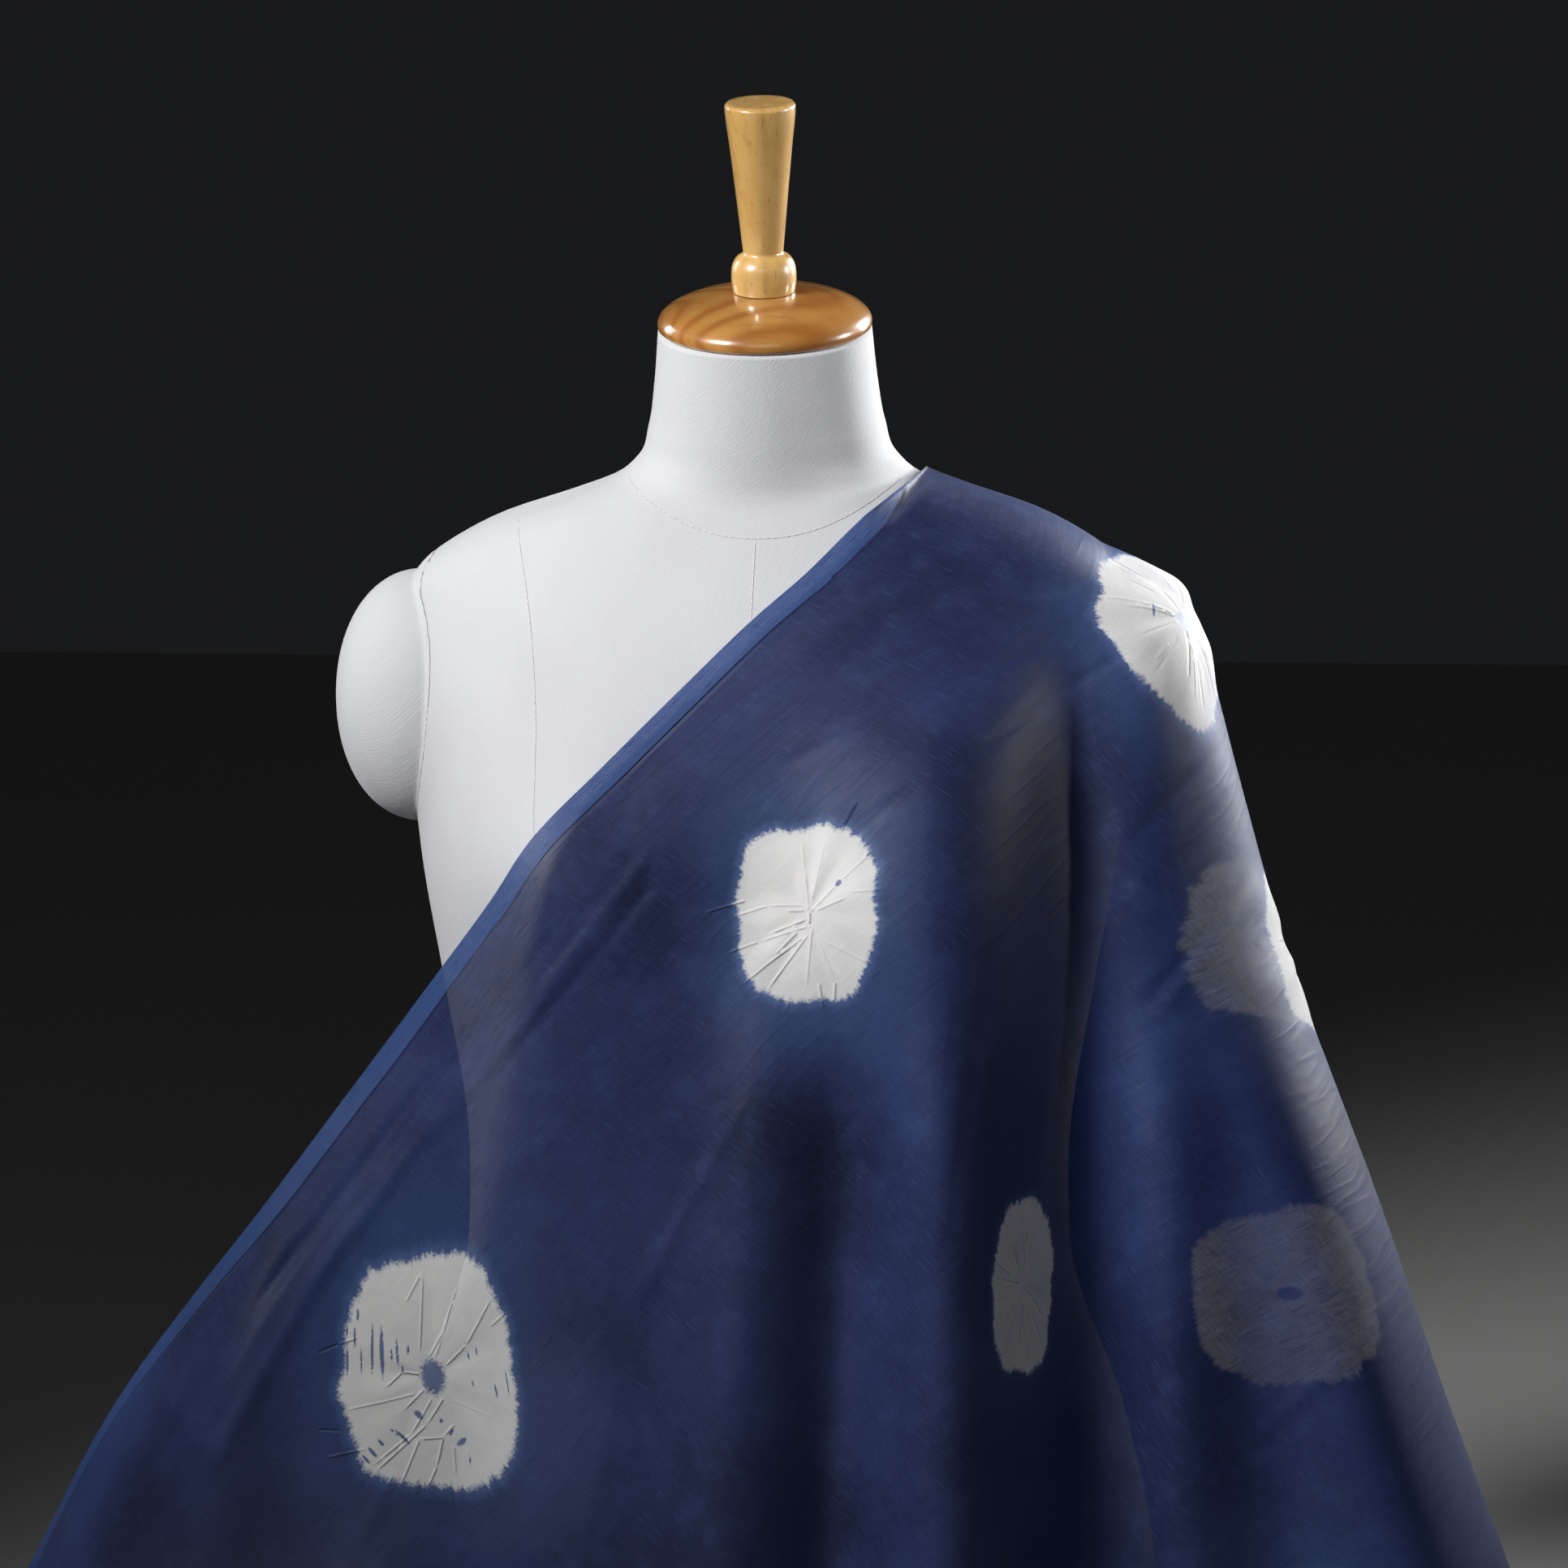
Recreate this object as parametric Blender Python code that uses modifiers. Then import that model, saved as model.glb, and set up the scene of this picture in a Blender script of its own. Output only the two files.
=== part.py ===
"""A shibori dyed cloth draped over one shoulder of a dress form.

The form faces -Y and stands with its base on z = 0. The cloth lies across the chest, over the
shoulder at +X and down the back, and its hem meets the surface all round. Metres, +Z up.
"""

import math

import bmesh
import bpy
import numpy as np
from mathutils import Matrix, Vector
from mathutils.bvhtree import BVHTree

# Distances between pieces
SEAT_GAP = 0.0003
ARMHOLE_GAP = 0.0006
CLOTH_CLEARANCE = 0.0050

# Base, neck cap and finial
BASE_RADIUS = 0.122
BASE_HEIGHT = 0.025
BASE_ROUNDING = 0.004
CAP_RADIUS = 0.0520
CAP_EDGE = 0.003
CAP_RISE = 0.0160
CAP_SEAT = 0.018
CAP_ROUNDING = 0.0018
CAP_DOME_STEPS = 7
TURNED_STEPS = 28
BASE_STEPS = 40

# The finial's outline from its top down: height above its foot, and radius
FINIAL_COLUMNS = ("height", "radius")
FINIAL_OUTLINE = (
    (0.0925, 0.0130),
    (0.0923, 0.0160),
    (0.0908, 0.0170),
    (0.0700, 0.0149),
    (0.0450, 0.0123),
    (0.0190, 0.0097),
    (0.0184, 0.0108),
    (0.0170, 0.0128),
    (0.0140, 0.0148),
    (0.0100, 0.0157),
    (0.0060, 0.0158),
    (0.0025, 0.0154),
    (0.0000, 0.0150),
)

# The form's level sections, from the hip up to the top of the neck. Lean is the tilt in degrees of a
# section towards the front, and centre its place from front (-) to back (+).
FORM_COLUMNS = ("height", "half_width", "front", "back", "centre", "lean")
FORM_SECTIONS = (
    (BASE_HEIGHT + SEAT_GAP, 0.178, 0.100, 0.112, 0.000, 0.0),
    (0.045, 0.188, 0.108, 0.120, 0.000, 0.0),
    (0.120, 0.194, 0.112, 0.124, 0.000, 0.0),
    (0.213, 0.178, 0.105, 0.110, 0.000, 0.0),
    (0.300, 0.150, 0.093, 0.088, 0.000, 0.0),
    (0.340, 0.149, 0.094, 0.086, 0.000, 0.0),
    (0.430, 0.161, 0.110, 0.096, 0.000, 0.0),
    (0.490, 0.171, 0.118, 0.104, 0.000, 0.0),
    (0.540, 0.176, 0.114, 0.110, 0.000, 0.0),
    (0.580, 0.178, 0.105, 0.111, 0.000, 0.0),
    (0.620, 0.177, 0.089, 0.101, 0.000, 0.0),
    (0.637, 0.169, 0.079, 0.090, 0.000, 0.0),
    (0.650, 0.151, 0.071, 0.080, 0.000, 0.5),
    (0.6615, 0.127, 0.064, 0.072, 0.000, 1.5),
    (0.670, 0.100, 0.059, 0.066, -0.001, 3.0),
    (0.678, 0.077, 0.057, 0.061, -0.002, 5.0),
    (0.688, 0.064, 0.056, 0.058, -0.004, 7.0),
    (0.705, 0.0575, 0.055, 0.056, -0.008, 9.5),
    (0.725, 0.0542, 0.0535, 0.0535, -0.013, 12.0),
    (0.751, 0.0517, 0.0517, 0.0517, -0.019, 13.5),
)
FORM_SHOULDER_HEIGHT = 0.60
FORM_NECK_HEIGHT = 0.69
FORM_BODY_RINGS = 17
FORM_SHOULDER_RINGS = 9
FORM_NECK_RINGS = 4
FORM_RING_POINTS = 38
FORM_SQUARENESS = 2.15
BUST_REACH = 0.084
BUST_HEIGHT = 0.490
BUST_DEPTH = 0.026
BUST_SPREAD = 0.046

# The shoulder caps: half a full, rounded ellipsoid on each armhole
STUB_CENTRE = (0.172, 0.002, 0.569)
STUB_RADII = (0.0425, 0.051, 0.0625)
STUB_SQUARENESS = 2.1
STUB_SEGMENTS = 20
STUB_RINGS = 12

# The cloth
CLOTH_THICKNESS = 0.0016
CLOTH_ROWS = 25
CLOTH_FRONT_POINTS = 38
CLOTH_ROLL_POINTS = 7
CLOTH_BACK_POINTS = 18

# Each row of the sheet runs from the front selvedge, over the shoulder or round the right side, to the
# back selvedge. The columns give its height at those three places, from the hem up.
ROW_COLUMNS = ("place", "front", "crest", "back")
ROW_HEIGHTS = (
    (0.00, 0.000, 0.000, 0.000),
    (0.40, 0.270, 0.270, 0.270),
    (0.55, 0.372, 0.385, 0.375),
    (0.66, 0.440, 0.490, 0.452),
    (0.74, 0.495, 0.560, 0.512),
    (0.81, 0.545, 0.603, 0.560),
    (0.87, 0.590, 0.630, 0.600),
    (0.93, 0.628, 0.656, 0.634),
    (0.97, 0.650, 0.672, 0.652),
    (1.00, 0.664, 0.683, 0.666),
)

# The front selvedge's reach across, and how far its edge is rolled back there
SELVEDGE_COLUMNS = ("height", "reach", "curl")
FRONT_SELVEDGE = (
    (0.000, -0.428, 0.020),
    (0.070, -0.396, 0.024),
    (0.143, -0.360, 0.030),
    (0.182, -0.342, 0.052),
    (0.223, -0.318, 0.046),
    (0.285, -0.272, 0.022),
    (0.324, -0.241, 0.012),
    (0.389, -0.192, 0.004),
    (0.449, -0.147, 0.000),
    (0.488, -0.118, 0.000),
    (0.515, -0.100, 0.000),
    (0.551, -0.065, 0.000),
    (0.585, -0.031, 0.000),
    (0.618, 0.003, 0.000),
    (0.638, 0.026, 0.000),
    (0.656, 0.044, 0.000),
    (0.670, 0.058, 0.000),
    (0.690, 0.074, 0.000),
)
CURL_WIDTH = 0.050

# The back selvedge hangs nearly straight down from the neck
BACK_SELVEDGE_COLUMNS = ("height", "reach")
BACK_SELVEDGE = (
    (0.000, -0.060),
    (0.200, -0.030),
    (0.400, 0.005),
    (0.560, 0.038),
    (0.640, 0.056),
    (0.690, 0.066),
)

# The outline over the shoulder and down the right side: reach across, depth, and radius of its roll
CREST_COLUMNS = ("height", "reach", "depth", "roll")
CREST = (
    (0.000, 0.420, 0.000, 0.052),
    (0.138, 0.369, 0.002, 0.048),
    (0.225, 0.336, 0.004, 0.046),
    (0.322, 0.302, 0.004, 0.045),
    (0.409, 0.269, 0.004, 0.046),
    (0.471, 0.248, 0.004, 0.048),
    (0.521, 0.234, 0.003, 0.046),
    (0.567, 0.2215, 0.003, 0.038),
    (0.611, 0.210, 0.003, 0.042),
    (0.630, 0.197, 0.004, 0.060),
    (0.642, 0.173, 0.005, 0.085),
    (0.654, 0.141, 0.006, 0.100),
    (0.667, 0.102, 0.006, 0.100),
    (0.681, 0.077, 0.006, 0.100),
)
MOST_ROLL_SHARE = 0.9

# How far the front of the cloth stands in front of the crest's plane, by height and by place across
FRONT_PLACES = (-0.43, -0.30, -0.17, -0.085, 0.0, 0.085, 0.16, 0.21, 0.30, 0.41)
FRONT_DEPTHS = (
    (0.000, (0.080, 0.125, 0.140, 0.155, 0.160, 0.170, 0.140, 0.130, 0.125, 0.090)),
    (0.200, (0.085, 0.115, 0.132, 0.148, 0.152, 0.162, 0.130, 0.114, 0.102, 0.070)),
    (0.350, (0.095, 0.105, 0.122, 0.146, 0.142, 0.156, 0.118, 0.096, 0.080, 0.055)),
    (0.430, (0.105, 0.106, 0.112, 0.146, 0.138, 0.154, 0.106, 0.080, 0.064, 0.050)),
    (0.490, (0.110, 0.110, 0.110, 0.144, 0.130, 0.150, 0.096, 0.070, 0.055, 0.050)),
    (0.550, (0.115, 0.115, 0.115, 0.122, 0.120, 0.130, 0.082, 0.062, 0.056, 0.050)),
    (0.600, (0.104, 0.104, 0.104, 0.104, 0.106, 0.099, 0.068, 0.058, 0.052, 0.045)),
    (0.640, (0.080, 0.080, 0.080, 0.080, 0.085, 0.078, 0.052, 0.042, 0.042, 0.042)),
    (0.665, (0.067, 0.067, 0.067, 0.067, 0.069, 0.062, 0.046, 0.040, 0.040, 0.040)),
    (0.690, (0.062, 0.062, 0.062, 0.062, 0.062, 0.056, 0.044, 0.040, 0.040, 0.040)),
)
BACK_PLACES = (-0.10, 0.0, 0.085, 0.16, 0.21, 0.30, 0.41)
BACK_DEPTHS = (
    (0.000, (0.160, 0.160, 0.156, 0.148, 0.140, 0.130, 0.095)),
    (0.200, (0.148, 0.150, 0.150, 0.140, 0.128, 0.112, 0.075)),
    (0.350, (0.138, 0.140, 0.140, 0.128, 0.108, 0.088, 0.058)),
    (0.490, (0.130, 0.132, 0.130, 0.112, 0.088, 0.066, 0.050)),
    (0.550, (0.125, 0.127, 0.122, 0.100, 0.074, 0.058, 0.050)),
    (0.600, (0.110, 0.112, 0.104, 0.082, 0.064, 0.056, 0.045)),
    (0.640, (0.084, 0.086, 0.076, 0.054, 0.045, 0.045, 0.045)),
    (0.685, (0.056, 0.056, 0.048, 0.042, 0.040, 0.040, 0.040)),
)

# Folds, each from its upper end to its lower one: places across and heights, half widths, and how far
# it stands out (+) or in (-) at each end
FOLD_COLUMNS = (
    "top_x",
    "top_z",
    "low_x",
    "low_z",
    "top_width",
    "low_width",
    "top_out",
    "low_out",
)
FRONT_FOLDS = (
    (0.012, 0.440, -0.022, 0.000, 0.019, 0.032, 0.009, 0.024),
    (0.054, 0.410, 0.034, 0.000, 0.019, 0.027, -0.013, -0.030),
    (0.098, 0.430, 0.104, 0.000, 0.020, 0.026, 0.008, 0.018),
    (0.150, 0.580, 0.176, 0.000, 0.020, 0.032, -0.016, -0.038),
    (0.200, 0.440, 0.212, 0.000, 0.020, 0.028, 0.006, 0.016),
    (0.230, 0.330, 0.290, 0.000, 0.020, 0.030, -0.004, -0.014),
    (-0.120, 0.300, -0.160, 0.000, 0.030, 0.040, -0.006, -0.020),
    (-0.235, 0.300, -0.290, 0.000, 0.022, 0.034, 0.010, 0.022),
    (0.050, 0.620, 0.110, 0.660, 0.010, 0.008, 0.004, 0.003),
)
BACK_FOLDS = (
    (0.060, 0.520, 0.020, 0.000, 0.024, 0.034, 0.006, 0.022),
    (0.110, 0.480, 0.092, 0.000, 0.022, 0.032, -0.006, -0.014),
    (0.155, 0.540, 0.176, 0.000, 0.022, 0.034, 0.006, 0.020),
    (0.195, 0.420, 0.262, 0.000, 0.020, 0.036, -0.006, -0.022),
)
FOLD_FADE = 0.07


def column(columns, rows, name):
    """One named column of a table."""
    return np.array([row[columns.index(name)] for row in rows])


def smooth(places, values, at):
    """A smooth curve through the values at the places, read at other places. It never overshoots."""
    places = np.asarray(places, float)
    values = np.asarray(values, float)
    at = np.clip(at, places[0], places[-1])
    gap = np.diff(places)
    slope = np.diff(values, axis=-1) / gap
    before, after = slope[..., :-1], slope[..., 1:]
    middle = (before * gap[1:] + after * gap[:-1]) / (gap[1:] + gap[:-1])
    limit = 3 * np.minimum(np.abs(before), np.abs(after))
    middle = np.where(before * after > 0, np.clip(middle, -limit, limit), 0.0)
    tangent = np.concatenate([slope[..., :1], middle, slope[..., -1:]], axis=-1)
    low = np.clip(np.searchsorted(places, at) - 1, 0, len(places) - 2)
    share = (at - places[low]) / gap[low]
    if values.ndim == 1:
        ends = (values[low], values[low + 1], tangent[low], tangent[low + 1])
    else:
        who = np.arange(len(values))
        ends = (values[who, low], values[who, low + 1], tangent[who, low], tangent[who, low + 1])
    start, end, start_tangent, end_tangent = ends
    square, cube = share**2, share**3
    return (
        (2 * cube - 3 * square + 1) * start
        + (3 * square - 2 * cube) * end
        + gap[low] * ((cube - 2 * square + share) * start_tangent + (cube - square) * end_tangent)
    )


def surface(places, rows, across, height):
    """A depth read from a table of depths by height and by place across."""
    heights = [row[0] for row in rows]
    lines = zip(*(row[1] for row in rows))
    at_height = np.stack([smooth(heights, line, height) for line in lines], -1)
    return smooth(places, at_height, across)


def ease(value):
    """A step from 0 to 1 with soft ends."""
    value = np.clip(value, 0.0, 1.0)
    return value * value * (3 - 2 * value)


def folds(rows, across, height):
    """How far the folds of a table stand out, at places across and heights."""
    total = np.zeros_like(across)
    for row in rows:
        fold = dict(zip(FOLD_COLUMNS, row))
        run = np.array([fold["low_x"] - fold["top_x"], fold["low_z"] - fold["top_z"]])
        length = math.hypot(*run)
        run = run / length
        from_x, from_z = across - fold["top_x"], height - fold["top_z"]
        along = (from_x * run[0] + from_z * run[1]) / length
        aside = from_x * run[1] - from_z * run[0]
        share = np.clip(along, 0.0, 1.0)
        width = fold["top_width"] + (fold["low_width"] - fold["top_width"]) * share
        out = fold["top_out"] + (fold["low_out"] - fold["top_out"]) * share
        start = ease((along * length + FOLD_FADE) / (2 * FOLD_FADE))
        end = ease(((1 - along) * length + FOLD_FADE) / (2 * FOLD_FADE))
        total += out * np.exp(-((aside / width) ** 2)) * start * end
    return total


def reach(side):
    """The superellipse that a section of the form follows, as width across and depth, 1 at most."""
    power = 2 / FORM_SQUARENESS
    cosine, sine = np.cos(side), np.sin(side)
    return np.sign(cosine) * np.abs(cosine) ** power, np.sign(sine) * np.abs(sine) ** power


def form_ring(height, grow=0.0):
    """The points of one section of the form, from +X by the back round to the front."""
    heights = column(FORM_COLUMNS, FORM_SECTIONS, "height")
    names = ("half_width", "front", "back", "centre", "lean")
    half_width, front, back, centre, lean = (
        float(smooth(heights, column(FORM_COLUMNS, FORM_SECTIONS, name), height)) for name in names
    )
    side = np.linspace(0, 2 * math.pi, FORM_RING_POINTS, endpoint=False)
    across, depth = reach(side)
    across = across * (half_width + grow)
    bust = sum(
        np.exp(-((across - place) ** 2 + (height - BUST_HEIGHT) ** 2) / (2 * BUST_SPREAD**2))
        for place in (-BUST_REACH, BUST_REACH)
    )
    front_depth = (front + grow) + BUST_DEPTH * bust
    depth = np.where(depth > 0, depth * (back + grow), depth * front_depth)
    tilt = math.radians(lean)
    return np.stack([across, centre + depth * math.cos(tilt), height + depth * math.sin(tilt)], -1)


def material(name, colour, roughness):
    finish = bpy.data.materials.new(name)
    finish.use_nodes = True
    shader = finish.node_tree.nodes["Principled BSDF"]
    shader.inputs["Base Color"].default_value = (*colour, 1.0)
    shader.inputs["Roughness"].default_value = roughness
    shader.inputs["Metallic"].default_value = 0.0
    finish.diffuse_color = (*colour, 1.0)
    return finish


def add_object(name, mesh, finish, home):
    """A named object in its collection, with its material and with its round stretches shaded smooth."""
    mesh.materials.clear()
    mesh.materials.append(finish)
    mesh.shade_smooth()
    mesh.set_sharp_from_angle(angle=math.radians(50))
    thing = bpy.data.objects.new(name, mesh)
    home.objects.link(thing)
    return thing


def loft(name, rings, closed):
    """A mesh through rings of points. A closed one has a face at each end and rings that close."""
    shape = bmesh.new()
    lines = [[shape.verts.new(point) for point in ring] for ring in rings]
    for lower, upper in zip(lines, lines[1:]):
        count = len(lower)
        for i in range(count if closed else count - 1):
            j = (i + 1) % count
            shape.faces.new((lower[i], lower[j], upper[j], upper[i]))
    if closed:
        shape.faces.new(lines[0][::-1])
        shape.faces.new(lines[-1])
    mesh = bpy.data.meshes.new(name)
    shape.to_mesh(mesh)
    shape.free()
    return mesh


def form_heights():
    """Heights of the form's rings: even up the body, closer over the shoulders, and a few up the neck."""
    heights = column(FORM_COLUMNS, FORM_SECTIONS, "height")
    return np.concatenate(
        [
            np.linspace(heights[0], FORM_SHOULDER_HEIGHT, FORM_BODY_RINGS, endpoint=False),
            np.linspace(FORM_SHOULDER_HEIGHT, FORM_NECK_HEIGHT, FORM_SHOULDER_RINGS, endpoint=False),
            np.linspace(FORM_NECK_HEIGHT, heights[-1], FORM_NECK_RINGS),
        ]
    )


def torso_mesh(name, grow=0.0):
    return loft(name, [form_ring(height, grow) for height in form_heights()], closed=True)


def turned(name, outline, finish, home, place):
    """A turned piece: its outline, from the top of its axis down to the bottom, swept round the axis."""
    shape = bmesh.new()
    points = [shape.verts.new((radius, 0.0, height)) for height, radius in outline]
    for first, second in zip(points, points[1:]):
        shape.edges.new((first, second))
    mesh = bpy.data.meshes.new(name)
    shape.to_mesh(mesh)
    shape.free()
    thing = add_object(name, mesh, finish, home)
    screw = thing.modifiers.new("Turning", "SCREW")
    screw.axis = "Z"
    screw.steps = TURNED_STEPS
    screw.render_steps = TURNED_STEPS
    screw.use_merge_vertices = True
    screw.merge_threshold = 0.0001
    thing.matrix_world = place
    return thing


def make_base(finish, home):
    bpy.ops.mesh.primitive_cylinder_add(
        vertices=BASE_STEPS, radius=BASE_RADIUS, depth=BASE_HEIGHT, location=(0, 0, BASE_HEIGHT / 2)
    )
    base = bpy.context.object
    base.name = "base"
    for collection in list(base.users_collection):
        collection.objects.unlink(base)
    home.objects.link(base)
    base.data.materials.append(finish)
    rounding = base.modifiers.new("Rounding", "BEVEL")
    rounding.width = BASE_ROUNDING
    rounding.segments = 2
    rounding.limit_method = "ANGLE"
    return base


def make_torso(finish, home):
    return add_object("torso", torso_mesh("torso"), finish, home)


def stub_mesh(name, side):
    """A whole shoulder cap: an ellipsoid made fuller towards its corners."""
    shape = bmesh.new()
    bmesh.ops.create_uvsphere(shape, u_segments=STUB_SEGMENTS, v_segments=STUB_RINGS, radius=1.0)
    bmesh.ops.rotate(shape, verts=shape.verts, matrix=Matrix.Rotation(math.pi / 2, 3, "Y"))
    for vertex in shape.verts:
        size = sum(abs(part) ** STUB_SQUARENESS for part in vertex.co) ** (1 / STUB_SQUARENESS)
        vertex.co /= size
    bmesh.ops.scale(shape, verts=shape.verts, vec=STUB_RADII)
    centre = (side * STUB_CENTRE[0], STUB_CENTRE[1], STUB_CENTRE[2])
    bmesh.ops.translate(shape, verts=shape.verts, vec=centre)
    mesh = bpy.data.meshes.new(name)
    shape.to_mesh(mesh)
    shape.free()
    return mesh


def make_arm_stub(name, side, cutter, finish, home):
    """A shoulder cap seated on the armhole, cut to the form's side."""
    stub = add_object(name, stub_mesh(name, side), finish, home)
    seat = stub.modifiers.new("Armhole", "BOOLEAN")
    seat.operation = "DIFFERENCE"
    seat.solver = "EXACT"
    seat.object = cutter
    return stub


def cap_height():
    """The height of the cap where the finial sits on it."""
    return CAP_EDGE + CAP_RISE * math.cos(math.asin(CAP_SEAT / CAP_RADIUS))


def neck_top():
    """Where the cap sits, and the turn of the neck's axis there."""
    top = dict(zip(FORM_COLUMNS, FORM_SECTIONS[-1]))
    lean = Matrix.Rotation(math.radians(top["lean"]), 4, "X")
    return Matrix.Translation((0, top["centre"], top["height"])) @ lean


def make_neck_cap(finish, home):
    """The domed cap: flat where the finial sits, a rounded lower rim and a flat underside."""
    dome = []
    for turn in np.linspace(math.asin(CAP_SEAT / CAP_RADIUS), math.pi / 2, CAP_DOME_STEPS):
        dome.append((CAP_EDGE + CAP_RISE * math.cos(turn), CAP_RADIUS * math.sin(turn)))
    rim = [(CAP_ROUNDING, CAP_RADIUS), (0.0, CAP_RADIUS - CAP_ROUNDING)]
    outline = [(cap_height(), 0.0), *dome, *rim, (0.0, 0.0)]
    place = neck_top() @ Matrix.Translation((0, 0, SEAT_GAP))
    return turned("neck_cap", outline, finish, home, place)


def make_finial(finish, home):
    outline = [(FINIAL_OUTLINE[0][0], 0.0), *FINIAL_OUTLINE, (0.0, 0.0)]
    place = neck_top() @ Matrix.Translation((0, 0, cap_height() + 2 * SEAT_GAP))
    return turned("finial", outline, finish, home, place)


def cloth_leg(points, row, selvedge, places, depths, fold_rows, side):
    """The points of a row from its selvedge to where it meets the crest. Side is -1 for the front."""
    crest_x, crest_y, crest_z, roll = row
    selvedge_x, selvedge_z = selvedge
    length = np.hypot(crest_x - selvedge_x, crest_z - selvedge_z)
    roll = np.minimum(roll, MOST_ROLL_SHARE * length) / length
    straight = np.linspace(0.0, 1.0, points, endpoint=False) * (1 - roll)
    quarter = np.linspace(0.0, math.pi / 2, CLOTH_ROLL_POINTS)
    share = np.concatenate([straight, 1 - roll + roll * np.sin(quarter)])
    out = np.concatenate([np.ones(points), np.cos(quarter)])
    across = selvedge_x + (crest_x - selvedge_x) * share
    height = selvedge_z + (crest_z - selvedge_z) * share
    depth = surface(places, depths, across, height) + folds(fold_rows, across, height)
    return across, crest_y + side * (depth - side * crest_y) * out, height, share * length


def read(columns, rows, names, at):
    """Several named columns of a table, read smoothly at one value of its first column."""
    places = column(columns, rows, columns[0])
    return [float(smooth(places, column(columns, rows, name), at)) for name in names]


def cloth_grid(rows, front_points, back_points):
    """The middle surface of the cloth: rows from the hem up, each from the front selvedge to the back."""
    grid = []
    for place in np.linspace(0.0, 1.0, rows):
        front_z, crest_z, back_z = read(ROW_COLUMNS, ROW_HEIGHTS, ("front", "crest", "back"), place)
        crest_x, crest_y, roll = read(CREST_COLUMNS, CREST, ("reach", "depth", "roll"), crest_z)
        front_x, curl = read(SELVEDGE_COLUMNS, FRONT_SELVEDGE, ("reach", "curl"), front_z)
        (back_x,) = read(BACK_SELVEDGE_COLUMNS, BACK_SELVEDGE, ("reach",), back_z)
        row = (crest_x, crest_y, crest_z, roll)
        front_tables = (FRONT_PLACES, FRONT_DEPTHS, FRONT_FOLDS, -1)
        x, y, z, from_edge = cloth_leg(front_points, row, (front_x, front_z), *front_tables)
        y = y + curl * np.clip(1 - from_edge / CURL_WIDTH, 0, 1) ** 2
        front = np.stack([x, y, z], -1)
        back_tables = (BACK_PLACES, BACK_DEPTHS, BACK_FOLDS, 1)
        x, y, z, _ = cloth_leg(back_points, row, (back_x, back_z), *back_tables)
        back = np.stack([x, y, z], -1)
        grid.append(np.concatenate([front, back[-2::-1]]))
    return np.array(grid)


def lift_clear(grid, solids):
    """Moves the points of the sheet that are in or near the form out to the clearance."""
    trees = [BVHTree.FromPolygons(*solid) for solid in solids]
    for point in grid.reshape(-1, 3):
        for tree in trees * 2:
            near, normal, _, _ = tree.find_nearest(Vector(point))
            if (Vector(point) - near).dot(normal) < CLOTH_CLEARANCE:
                point[:] = near + normal * CLOTH_CLEARANCE
    return grid


def polygons_of(mesh):
    points = [vertex.co.copy() for vertex in mesh.vertices]
    return points, [list(face.vertices) for face in mesh.polygons]


def make_cloth(form, finish, home):
    """The draped sheet with its thickness, and with the hem flat on the surface."""
    grid = cloth_grid(CLOTH_ROWS, CLOTH_FRONT_POINTS, CLOTH_BACK_POINTS)
    grid = lift_clear(grid, [polygons_of(mesh) for mesh in form])
    sheet = add_object("cloth", loft("cloth_middle", grid, closed=False), finish, home)
    thickness = sheet.modifiers.new("Thickness", "SOLIDIFY")
    thickness.thickness = CLOTH_THICKNESS
    thickness.offset = 0.0
    thickness.use_even_offset = False
    bpy.context.view_layer.update()
    graph = bpy.context.evaluated_depsgraph_get()
    solid = bpy.data.meshes.new_from_object(sheet.evaluated_get(graph))
    for vertex in solid.vertices:
        if vertex.co.z < CLOTH_THICKNESS:
            vertex.co.z = 0.0
    sheet.modifiers.clear()
    sheet.data = solid
    solid.name = "cloth"
    return sheet


def main():
    for thing in list(bpy.data.objects):
        bpy.data.objects.remove(thing)
    home = bpy.data.collections.new("draped_shibori_cloth")
    cutters = bpy.data.collections.new("cutters")
    for collection in (home, cutters):
        bpy.context.scene.collection.children.link(collection)
    canvas = material("canvas", (0.70, 0.70, 0.71), 0.85)
    dyed = material("indigo_cloth", (0.035, 0.055, 0.16), 0.55)
    cap_wood = material("cap_wood", (0.42, 0.19, 0.05), 0.30)
    knob_wood = material("knob_wood", (0.50, 0.30, 0.11), 0.35)
    foot_wood = material("foot_wood", (0.40, 0.20, 0.07), 0.40)

    cutter = add_object("armhole_cutter", torso_mesh("armhole_cutter", ARMHOLE_GAP), canvas, cutters)
    cutter.hide_render = True
    cutter.display_type = "WIRE"
    make_base(foot_wood, home)
    make_torso(canvas, home)
    make_arm_stub("arm_stub_left", -1, cutter, canvas, home)
    make_arm_stub("arm_stub_right", 1, cutter, canvas, home)
    make_neck_cap(cap_wood, home)
    make_finial(knob_wood, home)
    form = [torso_mesh("form_surface"), stub_mesh("stub_surface", 1), stub_mesh("stub_surface", -1)]
    make_cloth(form, dyed, home)
    for mesh in form:
        bpy.data.meshes.remove(mesh)


main()
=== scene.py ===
"""The looks of a shibori dyed cloth draped over one shoulder of a dress form. Metres, +Z up."""

import math

import bmesh
import bpy
import numpy as np
from mathutils import Matrix, Vector
from mathutils.bvhtree import BVHTree


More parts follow.
